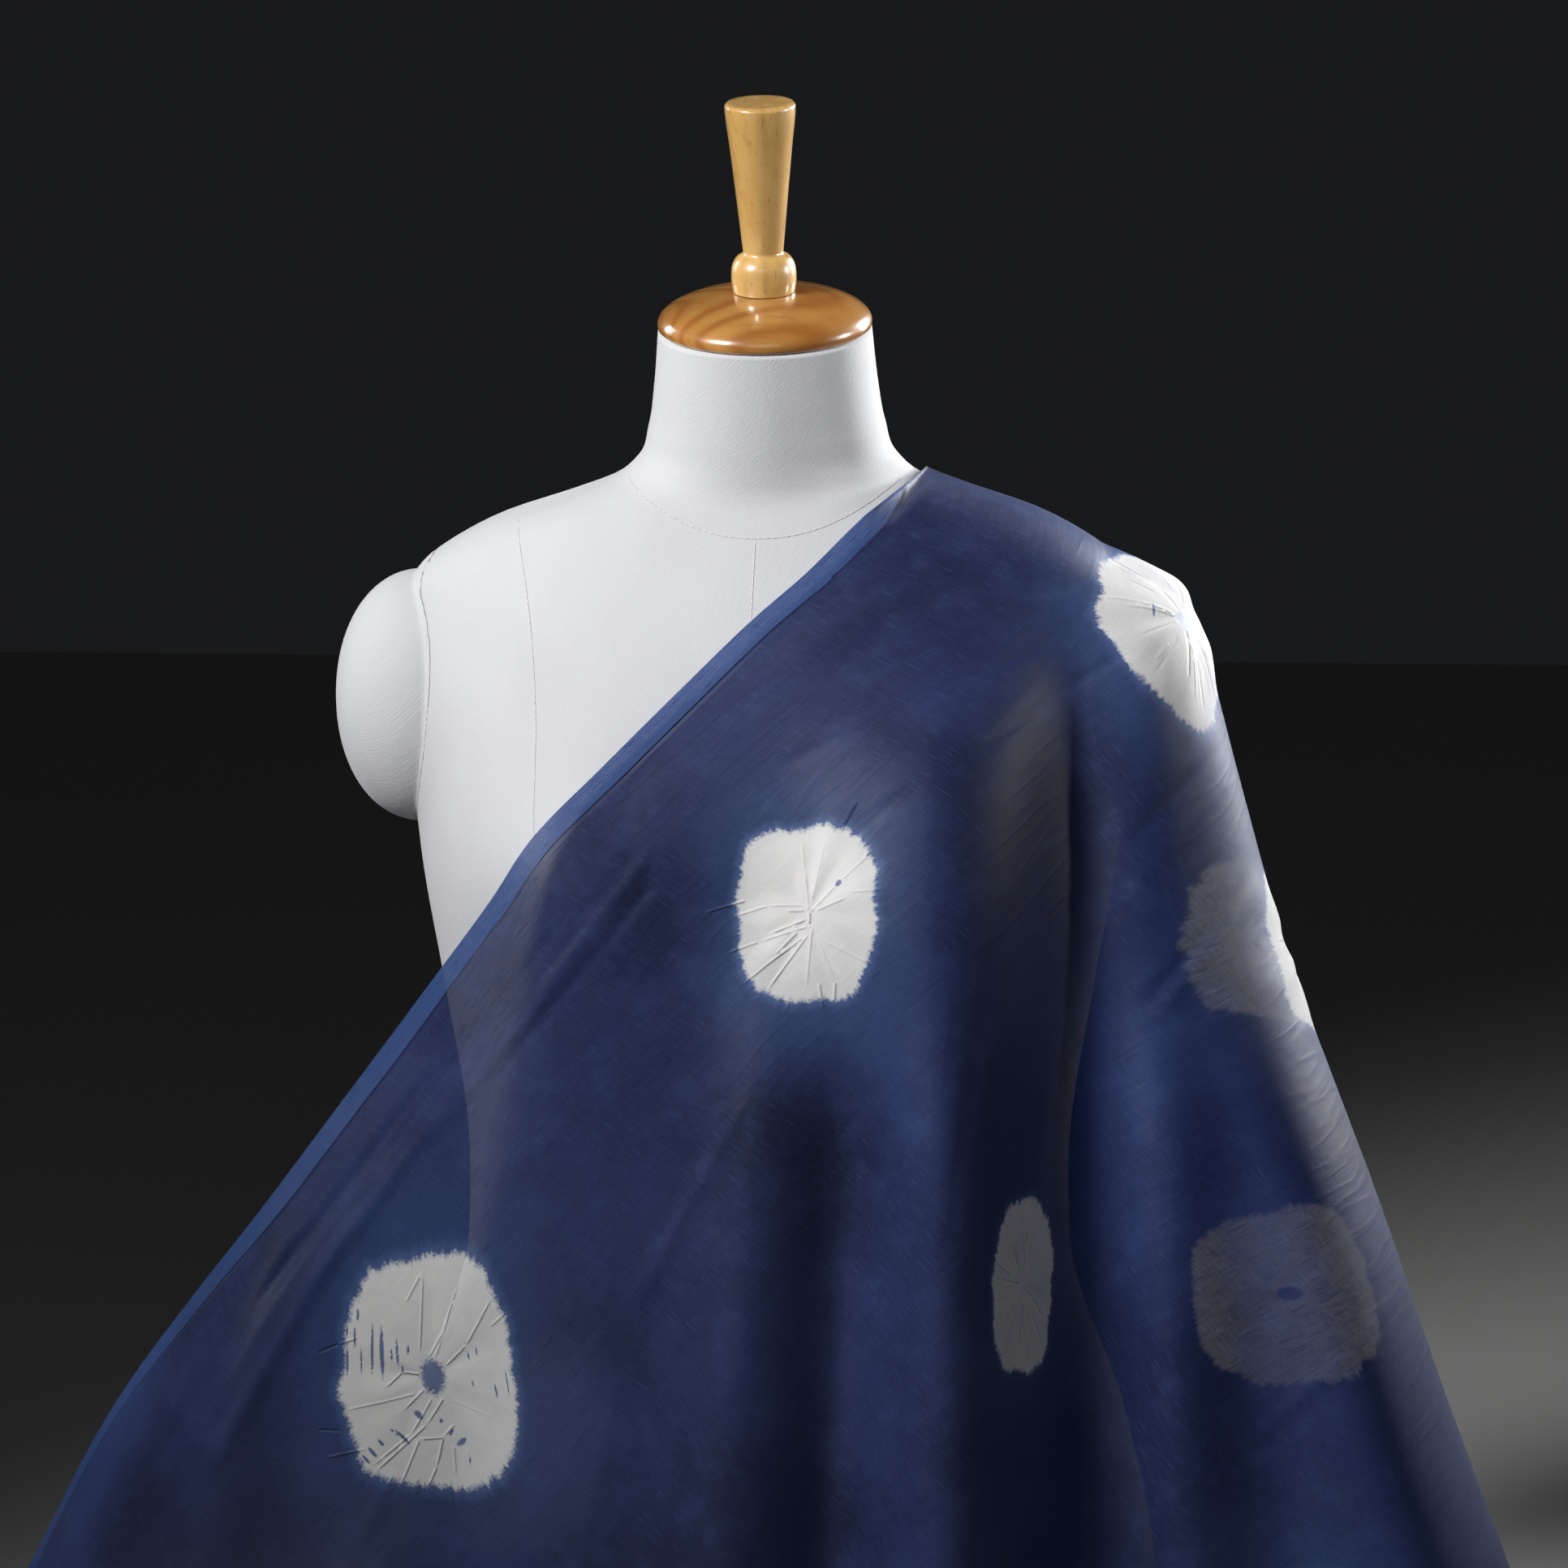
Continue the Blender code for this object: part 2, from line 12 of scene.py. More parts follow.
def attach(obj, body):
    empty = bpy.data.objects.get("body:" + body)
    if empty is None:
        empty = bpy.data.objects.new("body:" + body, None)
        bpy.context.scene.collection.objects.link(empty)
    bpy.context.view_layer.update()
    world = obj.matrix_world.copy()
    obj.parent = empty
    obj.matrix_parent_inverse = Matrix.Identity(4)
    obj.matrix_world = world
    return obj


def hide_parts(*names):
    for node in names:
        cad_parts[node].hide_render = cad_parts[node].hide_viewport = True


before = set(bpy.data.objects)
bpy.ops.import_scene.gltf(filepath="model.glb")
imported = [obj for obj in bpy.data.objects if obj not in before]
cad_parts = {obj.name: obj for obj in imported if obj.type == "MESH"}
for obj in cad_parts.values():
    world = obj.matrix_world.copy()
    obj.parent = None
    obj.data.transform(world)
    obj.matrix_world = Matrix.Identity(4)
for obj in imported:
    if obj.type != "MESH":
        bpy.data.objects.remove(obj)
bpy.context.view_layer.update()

# The camera, as the photograph was taken: turned a little to the form's left, just above its chest
CAMERA_AZIMUTH = 5.0
CAMERA_ELEVATION = 7.0
CAMERA_DISTANCE = 2.5
CAMERA_TARGET = (0.0076, 0.0, 0.5264)
FRAME_WIDTH = 0.7728
SENSOR = 0.036

# Sizes shared with the solids
SEAT_GAP = 0.0003
BASE_RADIUS = 0.122
BASE_HEIGHT = 0.025
BASE_ROUNDS = {"top": 0.006, "low": 0.002}
CAP_RADIUS = 0.0520
CAP_EDGE = 0.003
CAP_RISE = 0.0160
CAP_SEAT = 0.018
CAP_ROUND = 0.0022
STUB_CENTRE = (0.172, 0.002, 0.569)
STUB_RADII = (0.0425, 0.051, 0.0625)
STUB_SQUARENESS = 2.1
STUB_SEAM_SPREAD = 1.03

# How finely the pieces are made here
TURNED_STEPS = 96
STUB_RINGS = 65
FORM_RINGS = 170
FORM_RING_POINTS = 168
# The sheet's rows, and a row's points on its front, on each half of the roll at its crest, and behind
CLOTH_GRID = (300, 220, 18, 60)
PLAN_GRID = (61, 46, 9, 24)
UNWRAP_ROUNDS = 60
CLOTH_CLEARANCE = 0.0034
MM = 0.001

# The finial's outline from its top down: height above its foot, and radius
FINIAL_COLUMNS = ("height", "radius")
FINIAL_OUTLINE = (
    (0.0925, 0.0130),
    (0.0923, 0.0160),
    (0.0908, 0.0170),
    (0.0700, 0.0149),
    (0.0450, 0.0123),
    (0.0190, 0.0097),
    (0.0184, 0.0108),
    (0.0170, 0.0128),
    (0.0140, 0.0148),
    (0.0100, 0.0157),
    (0.0060, 0.0158),
    (0.0025, 0.0154),
    (0.0000, 0.0150),
)

# The form's level sections, from the hip up to the top of the neck. Lean is the tilt in degrees of a
# section towards the front, and centre its place from front (-) to back (+).
FORM_COLUMNS = ("height", "half_width", "front", "back", "centre", "lean")
FORM_SECTIONS = (
    (BASE_HEIGHT + SEAT_GAP, 0.178, 0.100, 0.112, 0.000, 0.0),
    (0.045, 0.188, 0.108, 0.120, 0.000, 0.0),
    (0.120, 0.194, 0.112, 0.124, 0.000, 0.0),
    (0.213, 0.178, 0.105, 0.110, 0.000, 0.0),
    (0.300, 0.150, 0.093, 0.088, 0.000, 0.0),
    (0.340, 0.149, 0.094, 0.086, 0.000, 0.0),
    (0.430, 0.161, 0.110, 0.096, 0.000, 0.0),
    (0.490, 0.171, 0.118, 0.104, 0.000, 0.0),
    (0.540, 0.176, 0.114, 0.110, 0.000, 0.0),
    (0.580, 0.178, 0.105, 0.111, 0.000, 0.0),
    (0.620, 0.177, 0.089, 0.101, 0.000, 0.0),
    (0.637, 0.169, 0.079, 0.090, 0.000, 0.0),
    (0.650, 0.151, 0.071, 0.080, 0.000, 0.5),
    (0.6615, 0.127, 0.064, 0.072, 0.000, 1.5),
    (0.670, 0.100, 0.059, 0.066, -0.001, 3.0),
    (0.678, 0.077, 0.057, 0.061, -0.002, 5.0),
    (0.688, 0.064, 0.056, 0.058, -0.004, 7.0),
    (0.705, 0.0575, 0.055, 0.056, -0.008, 9.5),
    (0.725, 0.0542, 0.0535, 0.0535, -0.013, 12.0),
    (0.751, 0.0517, 0.0517, 0.0517, -0.019, 13.5),
)
FORM_SQUARENESS = 2.15
BUST_REACH = 0.084
BUST_HEIGHT = 0.490
BUST_DEPTH = 0.026
BUST_SPREAD = 0.046

# Each row of the sheet runs from the front selvedge, over the shoulder or round the right side, to the
# back selvedge. The columns give its height at those three places, from the hem up.
ROW_COLUMNS = ("place", "front", "crest", "back")
ROW_HEIGHTS = (
    (0.00, 0.000, 0.000, 0.000),
    (0.40, 0.270, 0.270, 0.270),
    (0.55, 0.372, 0.385, 0.375),
    (0.66, 0.440, 0.490, 0.452),
    (0.74, 0.495, 0.560, 0.512),
    (0.81, 0.545, 0.603, 0.560),
    (0.87, 0.590, 0.630, 0.600),
    (0.93, 0.628, 0.656, 0.634),
    (0.97, 0.650, 0.672, 0.652),
    (1.00, 0.664, 0.683, 0.666),
)

# The front selvedge's reach across, and how far its edge is rolled back there
SELVEDGE_COLUMNS = ("height", "reach", "curl")
FRONT_SELVEDGE = (
    (0.000, -0.428, 0.020),
    (0.070, -0.396, 0.024),
    (0.143, -0.360, 0.030),
    (0.182, -0.342, 0.052),
    (0.223, -0.318, 0.046),
    (0.285, -0.272, 0.022),
    (0.324, -0.241, 0.012),
    (0.389, -0.192, 0.004),
    (0.449, -0.147, 0.000),
    (0.488, -0.118, 0.000),
    (0.515, -0.100, 0.000),
    (0.551, -0.065, 0.000),
    (0.585, -0.031, 0.000),
    (0.618, 0.003, 0.000),
    (0.638, 0.026, 0.000),
    (0.656, 0.044, 0.000),
    (0.670, 0.058, 0.000),
    (0.690, 0.074, 0.000),
)
CURL_WIDTH = 0.050

# The back selvedge hangs nearly straight down from the neck
BACK_SELVEDGE_COLUMNS = ("height", "reach")
BACK_SELVEDGE = (
    (0.000, -0.060),
    (0.200, -0.030),
    (0.400, 0.005),
    (0.560, 0.038),
    (0.640, 0.056),
    (0.690, 0.066),
)

# The outline over the shoulder and down the right side: reach across, depth, and radius of its roll
CREST_COLUMNS = ("height", "reach", "depth", "roll")
CREST = (
    (0.000, 0.420, 0.000, 0.052),
    (0.138, 0.369, 0.002, 0.048),
    (0.225, 0.336, 0.004, 0.046),
    (0.322, 0.302, 0.004, 0.045),
    (0.409, 0.269, 0.004, 0.046),
    (0.471, 0.248, 0.004, 0.048),
    (0.521, 0.234, 0.003, 0.046),
    (0.567, 0.2215, 0.003, 0.038),
    (0.611, 0.210, 0.003, 0.042),
    (0.630, 0.197, 0.004, 0.060),
    (0.642, 0.173, 0.005, 0.085),
    (0.654, 0.141, 0.006, 0.100),
    (0.667, 0.102, 0.006, 0.100),
    (0.681, 0.077, 0.006, 0.100),
)
MOST_ROLL_SHARE = 0.9

# How far the front of the cloth stands in front of the crest's plane, by height and by place across
FRONT_PLACES = (-0.43, -0.30, -0.17, -0.085, 0.0, 0.085, 0.16, 0.21, 0.30, 0.41)
FRONT_DEPTHS = (
    (0.000, (0.080, 0.125, 0.140, 0.155, 0.160, 0.170, 0.140, 0.130, 0.125, 0.090)),
    (0.200, (0.085, 0.115, 0.132, 0.148, 0.152, 0.162, 0.130, 0.114, 0.102, 0.070)),
    (0.350, (0.095, 0.105, 0.122, 0.146, 0.142, 0.156, 0.118, 0.096, 0.080, 0.055)),
    (0.430, (0.105, 0.106, 0.112, 0.146, 0.138, 0.154, 0.106, 0.080, 0.064, 0.050)),
    (0.490, (0.110, 0.110, 0.110, 0.144, 0.130, 0.150, 0.096, 0.070, 0.055, 0.050)),
    (0.550, (0.115, 0.115, 0.115, 0.122, 0.120, 0.130, 0.082, 0.062, 0.056, 0.050)),
    (0.600, (0.104, 0.104, 0.104, 0.104, 0.106, 0.099, 0.068, 0.058, 0.052, 0.045)),
    (0.640, (0.080, 0.080, 0.080, 0.080, 0.085, 0.078, 0.052, 0.042, 0.042, 0.042)),
    (0.665, (0.067, 0.067, 0.067, 0.067, 0.069, 0.062, 0.046, 0.040, 0.040, 0.040)),
    (0.690, (0.062, 0.062, 0.062, 0.062, 0.062, 0.056, 0.044, 0.040, 0.040, 0.040)),
)
BACK_PLACES = (-0.10, 0.0, 0.085, 0.16, 0.21, 0.30, 0.41)
BACK_DEPTHS = (
    (0.000, (0.160, 0.160, 0.156, 0.148, 0.140, 0.130, 0.095)),
    (0.200, (0.148, 0.150, 0.150, 0.140, 0.128, 0.112, 0.075)),
    (0.350, (0.138, 0.140, 0.140, 0.128, 0.108, 0.088, 0.058)),
    (0.490, (0.130, 0.132, 0.130, 0.112, 0.088, 0.066, 0.050)),
    (0.550, (0.125, 0.127, 0.122, 0.100, 0.074, 0.058, 0.050)),
    (0.600, (0.110, 0.112, 0.104, 0.082, 0.064, 0.056, 0.045)),
    (0.640, (0.084, 0.086, 0.076, 0.054, 0.045, 0.045, 0.045)),
    (0.685, (0.056, 0.056, 0.048, 0.042, 0.040, 0.040, 0.040)),
)

# Folds, each from its upper end to its lower one: places across and heights, half widths, and how far
# it stands out (+) or in (-) at each end
FOLD_COLUMNS = (
    "top_x",
    "top_z",
    "low_x",
    "low_z",
    "top_width",
    "low_width",
    "top_out",
    "low_out",
)
FRONT_FOLDS = (
    (0.012, 0.440, -0.022, 0.000, 0.019, 0.032, 0.009, 0.024),
    (0.054, 0.410, 0.034, 0.000, 0.019, 0.027, -0.013, -0.030),
    (0.098, 0.430, 0.104, 0.000, 0.020, 0.026, 0.008, 0.018),
    (0.150, 0.580, 0.176, 0.000, 0.020, 0.032, -0.016, -0.038),
    (0.200, 0.440, 0.212, 0.000, 0.020, 0.028, 0.006, 0.016),
    (0.230, 0.330, 0.290, 0.000, 0.020, 0.030, -0.004, -0.014),
    (-0.120, 0.300, -0.160, 0.000, 0.030, 0.040, -0.006, -0.020),
    (-0.235, 0.300, -0.290, 0.000, 0.022, 0.034, 0.010, 0.022),
    (0.050, 0.620, 0.110, 0.660, 0.010, 0.008, 0.004, 0.003),
)
BACK_FOLDS = (
    (0.060, 0.520, 0.020, 0.000, 0.024, 0.034, 0.006, 0.022),
    (0.110, 0.480, 0.092, 0.000, 0.022, 0.032, -0.006, -0.014),
    (0.155, 0.540, 0.176, 0.000, 0.022, 0.034, 0.006, 0.020),
    (0.195, 0.420, 0.262, 0.000, 0.020, 0.036, -0.006, -0.022),
)
FOLD_FADE = 0.07


# Creases pressed into the front of the cloth, with the columns of the folds
FRONT_CREASES = (
    (0.240, 0.492, 0.190, 0.437, 0.0022, 0.0030, -0.0012, -0.0020),
    (0.246, 0.488, 0.196, 0.432, 0.0030, 0.0034, 0.0012, 0.0014),
    (0.232, 0.560, 0.185, 0.515, 0.0026, 0.0030, -0.0010, -0.0012),
    (0.226, 0.536, 0.180, 0.486, 0.0030, 0.0030, 0.0010, 0.0008),
    (0.150, 0.610, 0.020, 0.552, 0.0030, 0.0030, -0.0007, -0.0004),
    (0.178, 0.600, 0.060, 0.528, 0.0030, 0.0034, -0.0008, -0.0004),
    (0.168, 0.628, 0.050, 0.592, 0.0026, 0.0030, -0.0006, -0.0004),
    (0.088, 0.650, 0.040, 0.620, 0.0026, 0.0030, -0.0007, -0.0005),
    (-0.020, 0.540, -0.118, 0.412, 0.0034, 0.0040, 0.0008, 0.0012),
    (-0.034, 0.505, -0.128, 0.392, 0.0030, 0.0036, -0.0008, -0.0010),
    (-0.058, 0.478, -0.150, 0.372, 0.0034, 0.0040, 0.0008, 0.0012),
    (-0.090, 0.470, -0.176, 0.356, 0.0030, 0.0034, -0.0008, -0.0012),
    (-0.118, 0.425, -0.205, 0.300, 0.0034, 0.0040, 0.0010, 0.0014),
    (-0.150, 0.400, -0.232, 0.292, 0.0030, 0.0034, -0.0010, -0.0012),
    (-0.190, 0.330, -0.262, 0.200, 0.0040, 0.0050, 0.0012, 0.0016),
    (-0.214, 0.318, -0.288, 0.205, 0.0036, 0.0040, -0.0012, -0.0014),
    (0.002, 0.395, -0.048, 0.300, 0.0034, 0.0040, 0.0010, 0.0008),
    (0.072, 0.320, 0.078, 0.150, 0.0040, 0.0050, -0.0014, -0.0012),
    (0.118, 0.470, 0.098, 0.330, 0.0034, 0.0040, -0.0008, -0.0006),
    (0.126, 0.300, 0.146, 0.120, 0.0040, 0.0050, -0.0012, -0.0014),
    (0.288, 0.330, 0.226, 0.268, 0.0034, 0.0040, -0.0008, -0.0008),
    (0.306, 0.286, 0.236, 0.222, 0.0034, 0.0040, 0.0010, 0.0008),
    (-0.170, 0.205, -0.225, 0.100, 0.0040, 0.0050, 0.0014, 0.0012),
    (-0.060, 0.250, -0.090, 0.120, 0.0050, 0.0060, 0.0010, 0.0012),
)
CREASE_FADE = 0.012

# The tied spots, in the flat cloth: how far along the selvedge from the neck, how far in from it, and the
# half sizes down and across the picture. The turn is from the selvedge to the picture's "down".
SPOT_COLUMNS = ("name", "along", "across", "down", "right", "turn")
SPOTS = (
    ("chest", 0.2565, 0.1205, 0.0430, 0.0300, 42.0),
    ("low_left", 0.5585, 0.1314, 0.0615, 0.0462, 41.0),
    ("shoulder", 0.0490, 0.1372, 0.0310, 0.0330, 8.0),
    ("fold", 0.3085, 0.3260, 0.0400, 0.0200, 47.0),
    ("rim", 0.0260, 0.2880, 0.0410, 0.0720, 78.0),
    ("back_right", -0.0230, 0.4820, 0.0470, 0.0520, 98.0),
    ("low_right", 0.300, 0.580, 0.0450, 0.0450, 45.0),
    ("low_middle", 0.610, 0.335, 0.0450, 0.0450, 40.0),
    ("corner", 0.855, 0.130, 0.0480, 0.0450, 40.0),
    ("back_high", -0.245, 0.260, 0.0450, 0.0450, 110.0),
    ("back_low", -0.310, 0.540, 0.0450, 0.0450, 110.0),
)
# Dye that crept in where thread was bound: which spot, place down and right of its middle, half sizes along
# and across the mark, and its turn from straight down, in millimetres and degrees
MARK_COLUMNS = ("spot", "down", "right", "half_length", "half_width", "turn")
MARKS = (
    ("chest", -14.1, 12.8, 1.9, 1.2, -30),
    ("chest", -28.7, 26.0, 3.2, 0.7, -42),
    ("low_left", 0.0, 0.0, 10.2, 6.6, 8),
    ("low_left", -31.0, -40.0, 3.8, 0.8, 0),
    ("low_left", -19.0, -41.2, 5.6, 0.7, 2),
    ("low_left", -13.3, -31.8, 14.0, 0.8, 0),
    ("low_left", -11.8, -26.7, 14.0, 1.2, 2),
    ("low_left", -11.8, -18.5, 7.7, 0.8, 4),
    ("low_left", -10.8, -21.5, 3.6, 0.6, 2),
    ("low_left", -13.8, -12.8, 2.6, 0.8, 4),
    ("low_left", -3.6, -15.9, 3.6, 0.6, 4),
    ("low_left", -22.0, -45.4, 2.6, 0.6, 0),
    ("low_left", -5.1, -44.6, 8.2, 0.6, 3),
    ("low_left", -6.2, -37.5, 7.2, 0.5, 2),
    ("low_left", 21.0, -7.2, 3.0, 1.7, 40),
    ("low_left", 33.8, -14.4, 5.6, 0.9, 46),
    ("low_left", 31.5, -18.5, 3.0, 0.7, 46),
    ("low_left", 37.9, -24.6, 2.4, 0.9, 40),
    ("low_left", 43.6, -28.2, 3.6, 1.0, 40),
    ("low_left", 48.0, -31.0, 3.2, 0.8, 42),
    ("low_left", 34.4, 14.4, 3.4, 1.6, -42),
    ("low_left", 23.6, 4.0, 1.4, 0.9, 0),
    ("low_left", 29.7, 9.2, 2.0, 0.8, -20),
    ("low_left", -11.3, 19.0, 2.3, 0.5, 14),
    ("low_left", -13.8, 23.6, 2.2, 0.5, 6),
    ("low_left", 3.0, 21.0, 2.3, 0.5, 14),
    ("low_left", 5.6, 33.8, 3.8, 0.6, 12),
    ("low_left", 1.0, 40.5, 7.0, 0.4, 8),
    ("low_left", 44.0, 19.0, 1.6, 0.5, 0),
    ("shoulder", 0.0, 0.0, 2.6, 3.8, 0),
    ("shoulder", 6.0, -12.0, 3.0, 0.6, 20),
    ("rim", 1.0, 22.0, 2.2, 3.2, 0),
    ("rim", 2.0, -18.0, 2.2, 3.4, 0),
    ("back_right", 0.0, 0.0, 3.8, 7.0, 0),
    ("low_right", 0.0, 0.0, 4.0, 5.0, 0),
    ("low_middle", 0.0, 0.0, 4.5, 4.0, 0),
    ("corner", 0.0, 0.0, 4.0, 5.0, 0),
    ("back_high", 0.0, 0.0, 5.0, 4.0, 0),
    ("back_low", 0.0, 0.0, 4.0, 4.0, 0),
)
# Sharp pleats left by the binding on the two spots that face the front: ends down and right of the spot's
# middle, in millimetres, and how far each stands out
PLEAT_COLUMNS = ("spot", "from_down", "from_right", "to_down", "to_right", "out")
PLEATS = (
    ("chest", 0.0, 0.9, 6.5, 0.9, 1.6),
    ("chest", -1.0, 0.6, -21.0, -1.5, 0.7),
    ("chest", -21.0, -1.5, -36.0, -2.8, 0.4),
    ("chest", 0.0, 1.0, -14.0, 12.5, 0.9),
    ("chest", -16.0, 14.5, -29.0, 26.5, 0.6),
    ("chest", -4.0, 1.6, -38.0, 7.5, 0.35),
    ("chest", -1.0, 4.0, -7.0, 17.0, 0.7),
    ("chest", -9.6, 18.7, -10.4, 31.7, 0.5),
    ("chest", 14.5, 7.5, 27.0, 30.0, 0.4),
    ("chest", 13.9, 4.8, 34.0, 12.4, 0.7),
    ("chest", 35.0, 12.6, 46.0, 12.4, 1.1),
    ("chest", 7.0, 2.2, 39.0, 0.4, 0.6),
    ("chest", 35.7, 5.7, 50.0, 7.8, 0.9),
    ("chest", 11.3, 0.4, 39.6, -17.0, 1.1),
    ("chest", 12.0, -1.0, 36.0, -28.3, 1.0),
    ("chest", 7.0, 0.4, 13.9, -20.4, 0.9),
    ("chest", 14.0, -21.0, 19.0, -34.0, 0.7),
    ("chest", 3.5, -0.4, 10.4, -17.0, 1.2),
    ("chest", 9.5, -4.0, 21.0, -13.5, 0.8),
    ("chest", -1.0, -1.3, -1.3, -9.0, 0.9),
    ("chest", -3.9, -2.2, -4.3, -17.0, 0.6),
    ("chest", -4.3, -17.0, 0.9, -32.6, 0.6),
    ("chest", -7.4, -26.5, -2.2, -44.0, 0.9),
    ("chest", -42.6, 14.3, -54.0, 19.6, 0.9),
    ("low_left", -13.3, -6.7, -55.9, -3.6, 1.1),
    ("low_left", -39.0, -13.3, -55.4, -3.8, 0.8),
    ("low_left", -10.3, -2.0, -24.0, 6.2, 1.0),
    ("low_left", -24.0, 6.2, -48.2, 15.9, 1.0),
    ("low_left", -10.3, 1.5, -41.0, 13.0, 0.8),
    ("low_left", -6.2, 7.0, -17.4, 18.5, 1.0),
    ("low_left", -17.4, 18.5, -43.6, 35.4, 0.9),
    ("low_left", -27.7, 32.8, -36.0, 43.0, 0.7),
    ("low_left", -1.0, -7.2, -1.5, -16.4, 1.2),
    ("low_left", -1.5, -16.4, 7.2, -24.0, 1.4),
    ("low_left", 7.2, -5.0, 18.5, -14.4, 1.1),
    ("low_left", 9.2, -8.2, 22.6, -45.6, 0.7),
    ("low_left", 12.0, -1.0, 31.8, -10.3, 1.0),
    ("low_left", 31.8, -10.3, 51.3, -27.7, 1.0),
    ("low_left", 11.3, 5.0, 26.0, -3.0, 1.1),
    ("low_left", 26.0, -3.0, 55.4, -27.0, 1.2),
    ("low_left", 34.4, -6.2, 32.8, 6.2, 1.1),
    ("low_left", 34.4, -6.2, 60.0, -13.3, 1.0),
    ("low_left", 32.8, 5.1, 49.0, 3.0, 1.3),
    ("low_left", 49.0, 3.0, 61.0, -0.5, 1.2),
    ("low_left", 25.6, 10.3, 32.8, 5.1, 0.9),
    ("low_left", 37.0, 10.3, 53.0, 12.3, 0.8),
    ("low_left", 38.0, 17.4, 48.0, 19.0, 0.6),
    ("low_left", -14.4, -49.7, -19.0, -39.0, 0.9),
    ("low_left", -14.4, -49.7, -8.2, -60.0, -1.3),
    ("low_left", 49.2, -50.3, 42.0, -31.0, 1.0),
    ("low_left", 34.4, -56.0, 33.8, -44.0, -0.9),
    ("low_left", 12.0, 9.0, 20.0, 30.0, 0.3),
)
OTHER_PLEATS = 19
PLEAT_HALF_WIDTH = 0.00062
SWELL_OUT = 0.0012
SWELL_REACH = 1.7
BAND_WIDTH = 0.011

# The form's sewn lines: stitch length and pitch, thread radius, and the seam's half width
STITCH_LENGTH = 0.0021
STITCH_PITCH = 0.0034
THREAD_RADIUS = 0.00022
SEAM_HALF_WIDTH = 0.00042
SEAM_STEP = 0.004
SEAM_FOOT = 0.030
# How deep the seam's line lies in the canvas, and how high the thread's, in half widths and radii
SEAM_SINK = 0.55
THREAD_LIFT = 0.8
NECK_SEAM = {"side": 0.679, "front": 0.6525, "back": 0.671, "half": 0.066}
# The long seams from the shoulder to the hip: height, and reach across in front and behind
LONG_SEAM_COLUMNS = ("height", "front", "back")
LONG_SEAMS = (
    (0.030, 0.104, 0.100),
    (0.120, 0.108, 0.104),
    (0.213, 0.098, 0.092),
    (0.310, 0.084, 0.072),
    (0.430, 0.094, 0.082),
    (0.517, 0.101, 0.092),
    (0.576, 0.103, 0.098),
    (0.630, 0.111, 0.110),
    (0.664, 0.121, 0.121),
)


def column(columns, rows, name):
    """One named column of a table."""
    return np.array([row[columns.index(name)] for row in rows])


def smooth(places, values, at):
    """A smooth curve through the values at the places, read at other places. It never overshoots."""
    places = np.asarray(places, float)
    values = np.asarray(values, float)
    at = np.clip(at, places[0], places[-1])
    gap = np.diff(places)
    slope = np.diff(values, axis=-1) / gap
    before, after = slope[..., :-1], slope[..., 1:]
    middle = (before * gap[1:] + after * gap[:-1]) / (gap[1:] + gap[:-1])
    limit = 3 * np.minimum(np.abs(before), np.abs(after))
    middle = np.where(before * after > 0, np.clip(middle, -limit, limit), 0.0)
    tangent = np.concatenate([slope[..., :1], middle, slope[..., -1:]], axis=-1)
    low = np.clip(np.searchsorted(places, at) - 1, 0, len(places) - 2)
    share = (at - places[low]) / gap[low]
    if values.ndim == 1:
        ends = (values[low], values[low + 1], tangent[low], tangent[low + 1])
    else:
        who = np.arange(len(values))
        ends = (values[who, low], values[who, low + 1], tangent[who, low], tangent[who, low + 1])
    start, end, start_tangent, end_tangent = ends
    square, cube = share**2, share**3
    return (
        (2 * cube - 3 * square + 1) * start
        + (3 * square - 2 * cube) * end
        + gap[low] * ((cube - 2 * square + share) * start_tangent + (cube - square) * end_tangent)
    )


def read(columns, rows, names, at):
    """Several named columns of a table, read smoothly at values of its first column."""
    places = column(columns, rows, columns[0])
    return [smooth(places, column(columns, rows, name), at) for name in names]


def surface(places, rows, across, height):
    """A depth read from a table of depths by height and by place across."""
    heights = [row[0] for row in rows]
    lines = zip(*(row[1] for row in rows))
    at_height = np.stack([smooth(heights, line, height) for line in lines], -1)
    return smooth(places, at_height, across)


def ease(value):
    """A step from 0 to 1 with soft ends."""
    value = np.clip(value, 0.0, 1.0)
    return value * value * (3 - 2 * value)


def folds(rows, across, height, fade):
    """How far the folds of a table stand out, at places across and heights."""
    total = np.zeros_like(across)
    for row in rows:
        fold = dict(zip(FOLD_COLUMNS, row))
        run = np.array([fold["low_x"] - fold["top_x"], fold["low_z"] - fold["top_z"]])
        length = math.hypot(*run)
        run = run / length
        from_x, from_z = across - fold["top_x"], height - fold["top_z"]
        along = (from_x * run[0] + from_z * run[1]) / length
        aside = from_x * run[1] - from_z * run[0]
        share = np.clip(along, 0.0, 1.0)
        width = fold["top_width"] + (fold["low_width"] - fold["top_width"]) * share
        out = fold["top_out"] + (fold["low_out"] - fold["top_out"]) * share
        start = ease((along * length + fade) / (2 * fade))
        end = ease(((1 - along) * length + fade) / (2 * fade))
        total += out * np.exp(-((aside / width) ** 2)) * start * end
    return total


def reach(side):
    """The superellipse that a section of the form follows, as width across and depth, 1 at most."""
    power = 2 / FORM_SQUARENESS
    cosine, sine = np.cos(side), np.sin(side)
    return np.sign(cosine) * np.abs(cosine) ** power, np.sign(sine) * np.abs(sine) ** power


